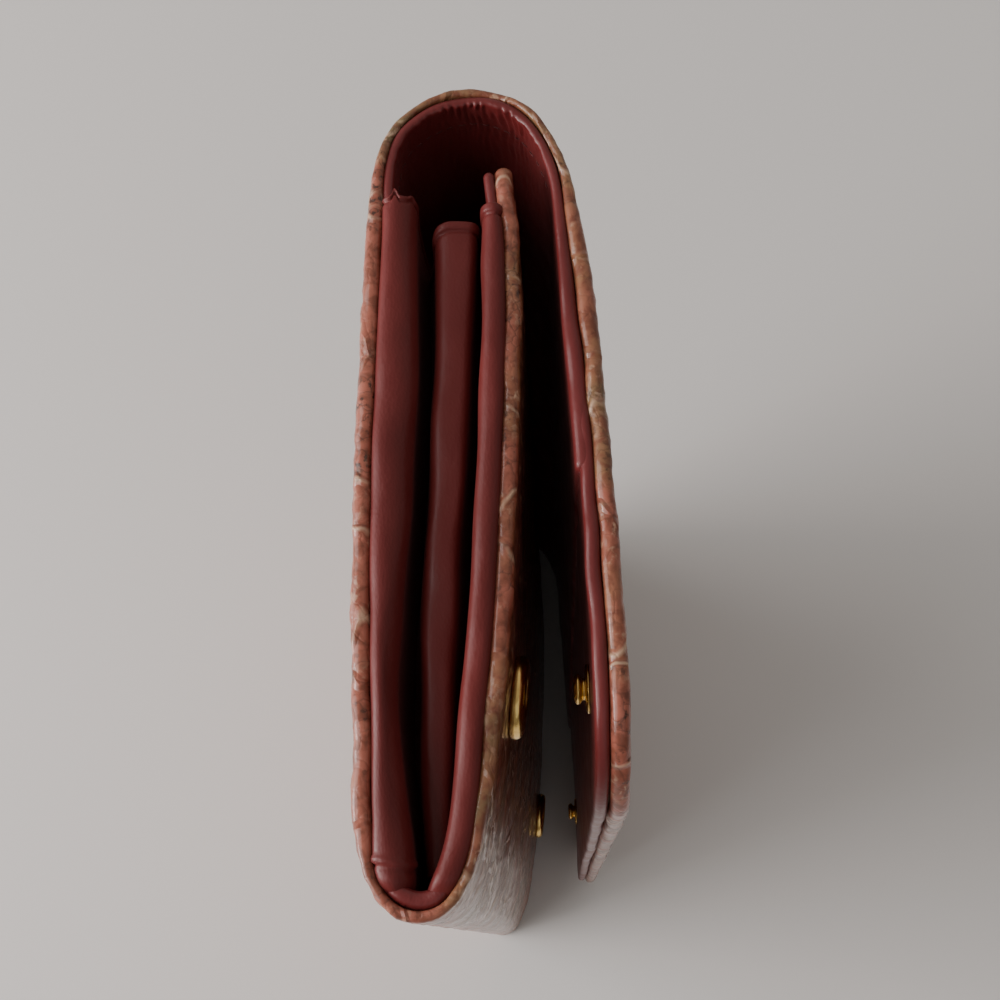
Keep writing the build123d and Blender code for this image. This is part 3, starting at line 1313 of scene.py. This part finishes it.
@dataclass
class Lining:
    """The burgundy lining: front, bottom, back and spine in one sheet, and the flap's own panel."""

    walls: Walls
    wardrobe: Wardrobe
    upper_end: tuple[float, float] = (14.6, -1.5)
    overlap: float = 0.45
    flap_corner: float = 14.6
    inset: float = 0.25
    tuck: float = 9.0
    seam_inset: float = 4.6
    stitch: float = 1.5
    thread: float = 0.07
    ripple: float = 1.25
    swell: float = 3.4

    def upper_thick(self, along: Array) -> Array:
        """The thickness of the sheet, which lies over the lower lining on the flap."""
        top = self.walls.flap_top
        return self.walls.lining_thick(along) + self.overlap * smooth_step(along, top - 6.0, top + 24.0)

    def wrinkles(self, along: Array, across: Array) -> Array:
        """The fine folds where the lining is squeezed inside the spine arch.

        Args:
            along: Distances along the sheet.
            across: Heights along the wallet's width.

        Returns:
            The lift at each place, in millimetres.
        """
        folds = self.walls.folds
        arch = hump(along, folds[0].along, folds[3].along, 7.0)
        from_end = np.minimum(across, WIDTH - across)
        fade = 0.30 + 0.70 * np.exp(-from_end / 9.0)
        crown = hump(along, folds[1].along + 2.0, folds[3].along - 5.0, 4.0)
        wander = along + 0.55 * unevenness(61, 9.0, across, along)
        patch = np.clip(0.55 + 0.6 * unevenness(62, 4.0, along, across), 0, 1)
        ripple = np.sin(wander * math.tau / self.ripple) * patch
        soft = np.sin(wander * math.tau / self.swell + 1.0)
        total = arch * fade * (0.05 * ripple + 0.06 * soft) + 0.15 * crown * fade * ripple
        return total + 0.04 * unevenness(63, 9.0, along, across)

    def build(self) -> None:
        """Makes the lining sheet, the flap's lining and their seams."""
        walls = self.walls
        upper_end = walls.sheet.station(self.upper_end)
        sheet = Layer(
            walls.sheet, 0.5, upper_end, depth=walls.panel_depth,
            thick=self.upper_thick,
            start_corner=1.0, end_corner=1.2, inset=self.inset, step=0.75, fine=0.4, coarse=3.0,
            inner_relief=self.wrinkles, waver=0.08, seed=23,
            dense=(walls.folds[0].along, walls.folds[3].along, 0.24),
        )
        cut_and_fold(sheet, walls, self.wardrobe, Finish.LINING, "lining", {
            "front": ["lining_front"], "back": ["lining_back"], "bottom_fold": ["lining_bottom"],
            "fold_1": ["lining_spine_1"], "fold_2": ["lining_spine_2"], "fold_4": ["lining_spine_3"],
            "flap": ["lining_flap_upper"],
        })
        lower = Layer(
            walls.sheet, upper_end - self.tuck, walls.sheet.length - 0.5, depth=walls.panel_depth,
            thick=lambda s: np.full_like(s, walls.lining), start_corner=1.0, end_corner=self.flap_corner,
            inset=self.inset, coarse=3.0, waver=0.12, seed=29,
            inner_relief=lambda s, z: 0.05 * unevenness(64, 12.0, s, z),
        )
        thing = self.wardrobe.dress(lower.slab().piece("lining_flap_lower_leather"), Finish.LINING)
        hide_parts("lining_flap")
        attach(thing, "flap")
        self.seams(sheet)

    def seams(self, sheet: Layer) -> None:
        """Sews the lining's two short ends inside the spine arch.

        Args:
            sheet: The lining sheet.
        """
        walls = self.walls
        borders = spine_borders(walls.folds)
        for k, fold in enumerate(walls.folds):
            rows = []
            for across in (self.seam_inset, WIDTH - self.seam_inset):
                along = np.linspace(borders[k], borders[k + 1], 24)
                line = sheet.on_face(along, np.full_like(along, across), True, 0.02)
                rows.append(stitches("seam", line, out_of(walls.sheet, along), self.stitch, self.thread))
            thing = self.wardrobe.dress(joined(f"spine_seam_{k + 1}", rows), Finish.THREAD)
            bend_or_ride(thing, walls, None, fold)


def out_of(path: Path, along: Array) -> Array:
    """The inward directions along a path, as 3-D vectors."""
    flat = path.inward(along)
    return np.c_[flat, np.zeros(len(flat))]


# ---------------------------------------------------------------- inside


@dataclass
class Gusset:
    """The accordion gusset at one short end: two valleys and a flat ridge over the divider's end."""

    walls: Walls
    wardrobe: Wardrobe
    name: str
    end: float
    sign: float
    band: Sequence[tuple[float, float]] = (
        (-7.3, 40.0), (-7.3, 5.0), (-8.5, -13.0), (-9.2, -23.0), (-8.4, -37.0), (-7.5, -44.0), (-7.7, -48.0),
    )
    ridge_rear: Sequence[tuple[float, float]] = (
        (-5.7, 40.0), (-6.0, 8.0), (-7.2, -11.0), (-7.8, -25.0), (-7.7, -37.0), (-6.9, -48.0),
    )
    ridge_front: Sequence[tuple[float, float]] = (
        (-0.3, 40.0), (-1.6, 17.0), (-3.3, -8.0), (-4.4, -24.0), (-4.9, -38.0), (-5.3, -48.0),
    )
    flange: float = 2.35
    slim: float = 0.7
    valley: float = 17.0
    ridge_drop: float = 2.8
    leather: float = 0.75
    top_rear: float = 34.8
    top_ridge: float = 32.5
    top_front: float = 33.2
    feet: Sequence[float] = (-47.6, -47.4, -45.4, -45.4, -47.8, -48.2)
    crease_height: float = -44.5
    crease_wave: float = 0.35
    crease_width: float = 0.20
    bulge: float = 0.8
    bulge_rise: float = 0.55
    bulge_width: float = 0.35
    hems: Sequence[tuple[float, float]] = ((0.0, 0.8), (0.22, 0.8), (0.42, 1.4), (1.0, 1.5))
    curls: Sequence[tuple[float, float, float]] = ((0.118, 0.009, 1.1), (0.18, 0.010, 0.45))
    cuts: Sequence[float] = (0.0, 0.305, 0.43, 0.585, 0.705, 1.0)
    flat_width: float = 62.0
    on_hide: float = 400.0
    turns: int = 132

    @staticmethod
    def _line(points: Sequence[tuple[float, float]], height: Array) -> Array:
        """The X of a smooth line through a few points, at given heights."""
        path = Path(points)
        return np.interp(height, path.line[::-1, 1], path.line[::-1, 0])

    def section(self, height: Array) -> Array:
        """The folded strip's control points at each height.

        Args:
            height: The heights, in Y.

        Returns:
            (X, distance from the wallet's end) for each control point and height.
        """
        walls = self.walls
        back = walls.across_at(walls.heel - 8.0, walls.folds[0].along, height)
        front_skin = walls.across_at(0.0, walls.front_fold.along + 3.0, height)
        band = self._line(self.band, height) - 0.9
        rear = self._line(self.ridge_rear, height)
        front = self._line(self.ridge_front, height)
        wall = front_skin - self.flange + self.slim * smooth_step(height, 24.0, 34.0)
        left = (band + rear) / 2
        right = (front + wall) / 2
        shoulder = np.minimum(1.5, (front - rear) / 3)
        drop = self.ridge_drop + 3.5 * (1 - smooth_step(height, -46.5, 8.0))
        mid = (back + band) / 2
        points = [
            (back + 0.35, 1.6), (back + 0.15, 0.2), (back + 0.8, -0.32), (mid - 0.1, -0.30),
            (band - 1.1, 0.1), (band - 0.3, 1.0), (band + 0.0, 2.4), (band - 0.5, 4.4),
            (left - 1.4, self.valley - 4.0), (left - 0.8, self.valley), (left - 0.4, self.valley),
            (left - 0.1, self.valley - 3.0), (rear + 0.3, drop + 4.6),
            (rear + 0.0, drop + 1.7), (rear + 0.3 * shoulder, drop + 0.35),
            (rear + shoulder, drop), (front - shoulder, drop + 0.1),
            (front - 0.2 * shoulder, drop + 0.25), (front - 0.02, drop + 1.1),
            (front - 0.05, drop + 3.8), (right - 0.35, self.valley - 3.0),
            (right - 0.1, self.valley), (right + 0.1, self.valley), (right + 0.35, self.valley - 3.0),
            (wall + 0.1, 5.0), (wall + 0.0, 1.4), (wall + 0.2, 0.1), (wall + 0.8, -0.35),
            (front_skin - 0.35, -0.3), (front_skin - 0.02, 0.35), (front_skin - 0.10, 1.6),
        ]
        sink = 1.5 * (1 - smooth_step(height, -48.0, -45.4))
        return np.array([np.stack([x, z + sink], axis=-1) for x, z in points])

    def _smooth(self, control: Array, spots: Array) -> Array:
        """Draws the strip's smooth curve near its control points, as a cubic B-spline.

        Args:
            control: The control points.
            spots: Places along the curve, from 0 to 1.

        Returns:
            The points at those places.
        """
        padded = np.concatenate([control[:1], control[:1], control, control[-1:], control[-1:]])
        place = spots * (len(padded) - 3)
        cell = np.clip(place.astype(int), 0, len(padded) - 4)
        t = (place - cell)[:, None, None]
        weights = [(1 - t) ** 3, 3 * t**3 - 6 * t**2 + 4, -3 * t**3 + 3 * t**2 + 3 * t + 1, t**3]
        return sum(w * padded[cell + k] for k, w in enumerate(weights)) / 6

    def tops(self, spots: Array) -> Array:
        """The height of the strip's top edge, with its curled tips.

        Args:
            spots: Places along the strip, from 0 to 1.

        Returns:
            One height for each place.
        """
        top = np.interp(spots, [0, 0.22, 0.41, 0.44, 0.47, 0.50, 0.59, 0.76, 1.0], [
            self.top_rear - 0.3, self.top_rear, self.top_ridge - 2.4, self.top_ridge - 1.5,
            self.top_ridge - 0.4, self.top_ridge, self.top_ridge - 0.1, self.top_front, self.top_front - 0.3,
        ])
        return top + sum(rise * np.exp(-((spots - spot) / width) ** 2) for spot, width, rise in self.curls)

    def build(self) -> None:
        """Makes the strip and cuts it at its folds."""
        spots = np.linspace(0, 1, self.turns)
        share = spread(1.0, 0.0020, 0.012, 0.0045)
        tops = self.tops(spots)
        feet = np.interp(spots, [0, 0.26, 0.42, 0.60, 0.74, 1.0], self.feet)
        height = feet[:, None] + (tops - feet)[:, None] * share[None, :]
        grid = np.stack([
            self._smooth(self.section(height[i]), spots[i:i + 1])[0] for i in range(self.turns)
        ])
        from_top = tops[:, None] - height
        hem = np.interp(spots, *zip(*self.hems))[:, None]
        crease = np.exp(-((from_top - hem) / self.crease_width) ** 2)
        rear_part = 1 - smooth_step(spots, 0.20, 0.27)[:, None]
        fold_line = self.crease_height + self.crease_wave * np.sin(spots * 26.0)[:, None]
        over = height - fold_line
        crease = crease + 0.9 * rear_part * np.exp(-(over / self.crease_width) ** 2)
        bulge = self.bulge * rear_part * np.exp(-((over - self.bulge_rise) / self.bulge_width) ** 2)
        wave = 0.10 * unevenness(71, 16.0, height, spots[:, None] * 60)
        free = smooth_step(spots, 0.1, 0.2) * (1 - smooth_step(spots, 0.8, 0.9))
        x = grid[..., 0] + wave * free[:, None]
        z = self.end - self.sign * (grid[..., 1] + 0.12 * unevenness(72, 11.0, height, spots[:, None] * 40))
        middle = np.stack([x, height, z], axis=-1)
        along = np.gradient(middle, axis=0)
        up = np.gradient(middle, axis=1)
        normal = np.cross(along, up)
        normal /= np.maximum(np.linalg.norm(normal, axis=2, keepdims=True), 1e-9)
        half = self.leather / 2
        edge = np.minimum(height - feet[:, None], from_top)
        edge = np.minimum(edge, np.minimum(spots, 1 - spots)[:, None] * 60)
        swell = half * np.sqrt(1 - (1 - np.clip(edge / half, 0, 1)) ** 2)
        fold = np.interp(spots, [0.0, 0.12, 0.40, 1.0], [0.0, 0.3, 0.7, 0.5])[:, None]
        swell = swell * (1 + fold * (1 - smooth_step(from_top - hem, -0.35, 0.0)) - 0.7 * crease + bulge)
        offset = normal * swell[..., None]
        along_hide = np.broadcast_to(spots[:, None] * self.flat_width + self.on_hide, height.shape)
        places = np.stack([along_hide, height], axis=2)
        slab = Slab(middle - offset, middle + offset, places)
        self.cut(slab, spots)

    def cut(self, slab: Slab, spots: Array) -> None:
        """Cuts the strip at its valleys and at the ridge's two creases.

        Args:
            slab: The whole strip.
            spots: The places of its rows, from 0 to 1.
        """
        low = (self.end - self.sign * self.valley) * MM
        high = (self.end - self.sign * (self.ridge_drop + 3.0)) * MM
        rows = [int(np.argmin(np.abs(spots - spot))) for spot in self.cuts]
        parts = [
            ("rear_leg", "back", None), ("rear_inner", None, ("back", "divider", low, high)),
            ("ridge", "divider", None), ("front_inner", None, ("divider", "front_wall", high, low)),
            ("front_leg", "front_wall", None),
        ]
        for k, (part, body, bend) in enumerate(parts):
            thing = slab.piece(f"{self.name}_{part}", rows[k], rows[k + 1])
            self.wardrobe.dress(thing, Finish.GUSSET)
            if part == "ridge":
                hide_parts(self.name)
            if body:
                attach(thing, body)
            else:
                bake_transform(thing)


@dataclass
class Divider:
    """The wall between the two compartments: a board between two leathers with turned edges."""

    wardrobe: Wardrobe
    rear_face: Sequence[tuple[float, float]] = ((-4.49, 30.35), (-5.4, 3.0), (-7.0, -21.0), (-7.9, -43.2))
    leather: float = 0.55
    wall: float = 1.6
    margin: float = 8.0
    binding: float = 0.95
    proud: float = 0.3
    seam_inset: float = 4.0
    seam_drop: float = 3.2
    stitch: float = 2.8
    thread: float = 0.15

    def build(self) -> None:
        """Makes the binding round the board, the two leathers and their seams along the top edge."""
        path = Path(self.rear_face)
        edge = Layer(
            path, 0.0, path.length, depth=lambda s: np.full_like(s, -(self.wall + self.binding) / 2),
            thick=lambda s: np.full_like(s, self.binding), start_corner=2.0, end_corner=2.0,
            inset=self.margin - self.proud, step=1.6, coarse=3.2, waver=0.06, seed=33,
        )
        thing = self.wardrobe.dress(edge.slab().piece("divider_edge_binding"), Finish.GUSSET)
        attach(thing, "divider")
        for name, depth in (("divider_leather_rear", -self.leather), ("divider_leather_front", -self.wall)):
            layer = Layer(
                path, 0.5, path.length - 0.6, depth=lambda s, d=depth: np.full_like(s, d),
                thick=lambda s: np.full_like(s, self.leather), start_corner=3.0, end_corner=1.5,
                inset=self.margin, step=1.6, coarse=3.2, waver=0.10, seed=31,
                outer_relief=lambda s, z: 0.04 * unevenness(65, 10.0, s, z),
            )
            thing = self.wardrobe.dress(layer.slab().piece(f"{name}_skin"), Finish.POCKET)
            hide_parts(name)
            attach(thing, "divider")
            inner = name.endswith("rear")
            seam_start = self.margin + self.seam_inset
            across = np.linspace(seam_start, WIDTH - seam_start, 60)
            along = np.full_like(across, self.seam_drop)
            line = layer.on_face(along, across, inner, 0.02)
            lift = out_of(path, along) * (1 if inner else -1)
            sewn = stitches(f"{name}_seam", line, lift, self.stitch, self.thread)
            seam = self.wardrobe.dress(sewn, Finish.THREAD)
            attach(seam, "divider")


@dataclass
class CardPockets:
    """Three card pockets on the back wall, one in front of the other."""

    walls: Walls
    wardrobe: Wardrobe
    tops: Sequence[float] = (8.0, -4.0, -16.0)
    foot: float = -38.0
    leather: float = 0.5
    margin: float = 20.0
    seam_inset: float = 3.0
    seam_drop: float = 1.6
    stitch: float = 2.8
    thread: float = 0.14

    def build(self) -> None:
        """Makes each pocket and the seam under its mouth."""
        walls = self.walls
        wall = walls.panel + walls.lining + 0.1
        middle = np.linspace(walls.bottom, walls.folds[0].along, 600)
        heights = walls.sheet.under(middle, np.full_like(middle, wall))[:, 1]
        for number, top in enumerate(self.tops):
            start, end = np.interp([self.foot, top], heights, middle)
            layer = Layer(
                walls.sheet, float(start), float(end),
                depth=lambda s, k=number: np.full_like(s, wall + k * self.leather),
                thick=lambda s: np.full_like(s, self.leather - 0.04), start_corner=1.0, end_corner=2.0,
                inset=self.margin, step=1.4, coarse=3.2, waver=0.08, seed=37 + number,
                inner_relief=lambda s, z: 0.04 * unevenness(66, 9.0, s, z),
            )
            pocket = f"card_pocket_{number + 1}"
            thing = self.wardrobe.dress(layer.slab().piece(f"{pocket}_leather"), Finish.POCKET)
            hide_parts(pocket)
            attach(thing, "back")
            seam_start = self.margin + self.seam_inset
            across = np.linspace(seam_start, WIDTH - seam_start, 60)
            along = np.full_like(across, float(end) - self.seam_drop)
            line = layer.on_face(along, across, True, 0.02)
            lift = out_of(walls.sheet, along)
            seam = stitches(f"{pocket}_seam", line, lift, self.stitch, self.thread)
            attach(self.wardrobe.dress(seam, Finish.THREAD), "back")


# ---------------------------------------------------------------- press snaps


@dataclass
class PressSnaps:
    """Two gold press snaps: sockets on the front wall and studs on the flap."""

    walls: Walls
    wardrobe: Wardrobe
    from_end: float = 18.0
    socket_height: float = -24.0
    stud_height: float = -23.3
    sides: int = 64
    socket_profile: Sequence[tuple[float, float]] = (
        (0, 0), (4.7, 0), (4.9, 0.1), (5.0, 0.35), (5.0, 0.85), (4.9, 1.15), (4.65, 1.42), (4.3, 1.6),
        (3.9, 1.68), (3.5, 1.64), (3.15, 1.55), (2.9, 1.56), (2.65, 1.66), (2.5, 1.68), (2.38, 1.6),
        (2.35, 1.4), (2.35, 0.95), (2.88, 0.9), (2.88, 0.58), (2.35, 0.52), (2.35, 0.25), (1.6, 0.2),
        (0, 0.2),
    )
    stud_profile: Sequence[tuple[float, float]] = (
        (0, 0), (2.9, 0), (3.0, 0.08), (2.98, 0.22), (2.8, 0.38), (2.4, 0.47), (1.7, 0.5), (1.4, 0.52),
        (1.34, 0.62), (1.36, 0.8), (1.55, 0.98), (1.78, 1.12), (1.85, 1.28), (1.82, 1.5), (1.68, 1.72),
        (1.4, 1.86), (1.0, 1.9), (0, 1.9),
    )

    def _place(self, along: float, depth: float, across: float, outwards: bool) -> Matrix:
        """The frame of a snap on a wall, its Z axis pointing off the wall.

        Args:
            along: The distance along the sheet.
            depth: The depth of its seat.
            across: Its height along the wallet's width.
            outwards: Whether it points out of the sheet, and not into it.

        Returns:
            The frame, in millimetres.
        """
        at = self.walls.sheet.under(np.array(along), np.array(depth))
        inward = self.walls.sheet.inward(np.array(along)) * (-1 if outwards else 1)
        normal = Vector((float(inward[0]), float(inward[1]), 0))
        turn = normal.to_track_quat("Z", "X").to_matrix().to_4x4()
        return Matrix.Translation((float(at[0]), float(at[1]), across)) @ turn

    def _at_height(self, low: float, high: float, height: float) -> float:
        """Finds where a wall crosses a height.

        Args:
            low: The start of the wall's stretch of the sheet.
            high: The end of that stretch.
            height: The height, in Y.

        Returns:
            The distance along the sheet.
        """
        along = np.linspace(low, high, 400)
        line = self.walls.sheet.under(along, np.zeros_like(along))
        order = np.argsort(line[:, 1])
        return float(np.interp(height, line[order, 1], along[order]))

    def build(self) -> None:
        """Turns the sockets, their springs and the studs."""
        walls = self.walls
        levels = (self.from_end, WIDTH - self.from_end)
        front = self._at_height(0.0, walls.foot, self.socket_height)
        flap = self._at_height(walls.flap_top, walls.sheet.length, self.stud_height)
        wall = walls.panel + walls.lining
        sockets = [self._place(front, 0.0, z, True) for z in levels]
        studs = [self._place(flap, wall, z, False) for z in levels]
        self.add("socket_pair", self.socket_profile, sockets, "snap_sockets", "front_wall", Finish.GOLD)
        self.add("stud_pair", self.stud_profile, studs, "snap_studs", "flap", Finish.GOLD)
        wires = [self.spring("wire", place) for place in sockets]
        thing = self.wardrobe.dress(joined("spring_pair", wires), Finish.SPRING)
        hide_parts("snap_springs")
        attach(thing, "front_wall")

    def add(self, name: str, profile: Sequence[tuple[float, float]], places: Sequence[Matrix],
            node: str, body: str, finish: Finish) -> None:
        """Turns one pair of metal pieces and puts them on their body.

        Args:
            name: The pair's name.
            profile: The turned outline.
            places: The frames of the two pieces.
            node: The CAD node that the pair replaces.
            body: The body that it rides on.
            finish: Its finish.
        """
        parts = [turned("part", profile, self.sides, place) for place in places]
        thing = self.wardrobe.dress(joined(name, parts), finish)
        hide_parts(node)
        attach(thing, body)

    def spring(self, name: str, place: Matrix) -> bpy.types.Object:
        """A sprung ring of round wire, open at one side, that grips the stud's head.

        Args:
            name: The object's name.
            place: The socket's frame.

        Returns:
            The object.
        """
        points, faces = [], []
        ring, sides = 48, 8
        thick, radius, gap, lift = 0.2, 2.5, 0.35, 0.74
        for k in range(ring + 1):
            angle = gap / 2 + (math.tau - gap) * k / ring
            for s in range(sides):
                spin = math.tau * s / sides
                reach = radius + thick * math.cos(spin)
                height = lift + thick * math.sin(spin)
                points.append(place @ Vector((reach * math.cos(angle), reach * math.sin(angle), height)) * MM)
        for k in range(ring):
            for s in range(sides):
                a, b = k * sides + s, k * sides + (s + 1) % sides
                faces.append([a, b, b + sides, a + sides])
        faces.append(list(range(sides))[::-1])
        faces.append([ring * sides + s for s in range(sides)])
        mesh = bpy.data.meshes.new(name)
        mesh.from_pydata(points, [], faces)
        mesh.shade_smooth()
        return link(bpy.data.objects.new(name, mesh))


@dataclass
class HiddenParts:
    """The stiffener boards and the rivets, whose CAD shapes are kept as they are."""

    wardrobe: Wardrobe
    finishes: dict[str, Finish] = field(default_factory=lambda: {
        "back_board": Finish.BOARD, "front_board": Finish.BOARD, "flap_board": Finish.BOARD,
        "divider_board": Finish.BOARD, "snap_socket_rivets": Finish.RIVET, "snap_stud_rivets": Finish.RIVET,
    })

    def build(self) -> None:
        """Dresses each kept CAD node."""
        for node, finish in self.finishes.items():
            self.wardrobe.dress(frame["nodes"][node], finish)


# ---------------------------------------------------------------- studio


@dataclass
class Studio:
    """A pale table, soft lights and the camera above the wallet's upper end."""

    floor_half: float = 3.0
    camera_at: tuple[float, float, float] = (0.00695, -0.0522, 0.3280)
    look: tuple[float, float, float] = (-0.03615, 0.32344, -0.94556)
    up: tuple[float, float, float] = (0.03594, 0.94598, 0.32222)
    lens: float = 46.8
    sky_level: float = 0.44
    sky_slope: tuple[float, float, float] = (-0.10, 0.20, 0.0)

    def build(self) -> None:
        """Sets the stage."""
        self.floor()
        self.lights()
        self.camera()

    def floor(self) -> None:
        """Lays the table top."""
        half = self.floor_half
        mesh = bpy.data.meshes.new("table_top")
        corners = [(-half, -half, 0), (half, -half, 0), (half, half, 0), (-half, half, 0)]
        mesh.from_pydata(corners, [], [(0, 1, 2, 3)])
        table = link(bpy.data.objects.new("table_top", mesh))
        table.data.materials.append(TableTop().make())

    def area(self, name: str, at: tuple[float, float, float], size: float, power: float,
             colour: Colour) -> None:
        """Hangs a square soft light aimed at the wallet.

        Args:
            name: The light's name.
            at: Its place, in metres.
            size: The length of its side.
            power: Its power, in watts.
            colour: Its colour.
        """
        light = bpy.data.lights.new(name, "AREA")
        light.size = size
        light.energy = power
        light.color = colour
        lamp = link(bpy.data.objects.new(name, light))
        lamp.location = at
        lamp.rotation_euler = (Vector((0, 0, 0.12)) - Vector(at)).to_track_quat("-Z", "Y").to_euler()

    def lights(self) -> None:
        """A broad soft key and a smaller side light from the left, a weak fill and a graded sky."""
        self.area("key", (-1.25, -0.10, 0.95), 1.5, 22.5, (1.0, 0.98, 0.97))
        self.area("side", (-0.95, -0.15, 0.30), 0.5, 9.0, (1.0, 0.91, 0.89))
        self.area("fill", (0.45, -0.95, 1.10), 1.1, 1.2, (0.95, 0.98, 1.0))
        world = bpy.data.worlds.new("sky")
        bpy.context.scene.world = world
        world.use_nodes = True
        tree = world.node_tree
        sky = tree.nodes["Background"]
        sky.inputs["Color"].default_value = (0.86, 0.80, 0.75, 1.0)
        direction = tree.nodes.new("ShaderNodeTexCoord")
        slope = tree.nodes.new("ShaderNodeVectorMath")
        slope.operation = "DOT_PRODUCT"
        slope.inputs[1].default_value = self.sky_slope
        level = tree.nodes.new("ShaderNodeMath")
        level.inputs[1].default_value = self.sky_level
        tree.links.new(direction.outputs["Generated"], slope.inputs[0])
        tree.links.new(slope.outputs["Value"], level.inputs[0])
        tree.links.new(level.outputs["Value"], sky.inputs["Strength"])

    def camera(self) -> None:
        """Puts the camera above the upper end, looking down along the width."""
        data = bpy.data.cameras.new("camera")
        data.lens = self.lens
        data.sensor_width = 36.0
        data.clip_start = 0.01
        eye = link(bpy.data.objects.new("camera", data))
        look = Vector(self.look).normalized()
        right = look.cross(Vector(self.up)).normalized()
        top = right.cross(look)
        turn = Matrix((right, top, -look)).transposed()
        eye.matrix_world = Matrix.Translation(self.camera_at) @ turn.to_4x4()
        bpy.context.scene.camera = eye


def main() -> None:
    """Builds the wallet and its stage, in order."""
    logging.basicConfig(level=logging.INFO, format="%(name)s %(message)s")
    wardrobe = Wardrobe()
    walls = Walls()
    Studio().build()
    OuterShell(walls, wardrobe).build()
    Lining(walls, wardrobe).build()
    Divider(wardrobe).build()
    CardPockets(walls, wardrobe).build()
    Gusset(walls, wardrobe, "gusset_near", WIDTH, 1.0).build()
    Gusset(walls, wardrobe, "gusset_far", 0.6, -1.0).build()
    PressSnaps(walls, wardrobe).build()
    HiddenParts(wardrobe).build()


if __name__ == "__main__":
    main()
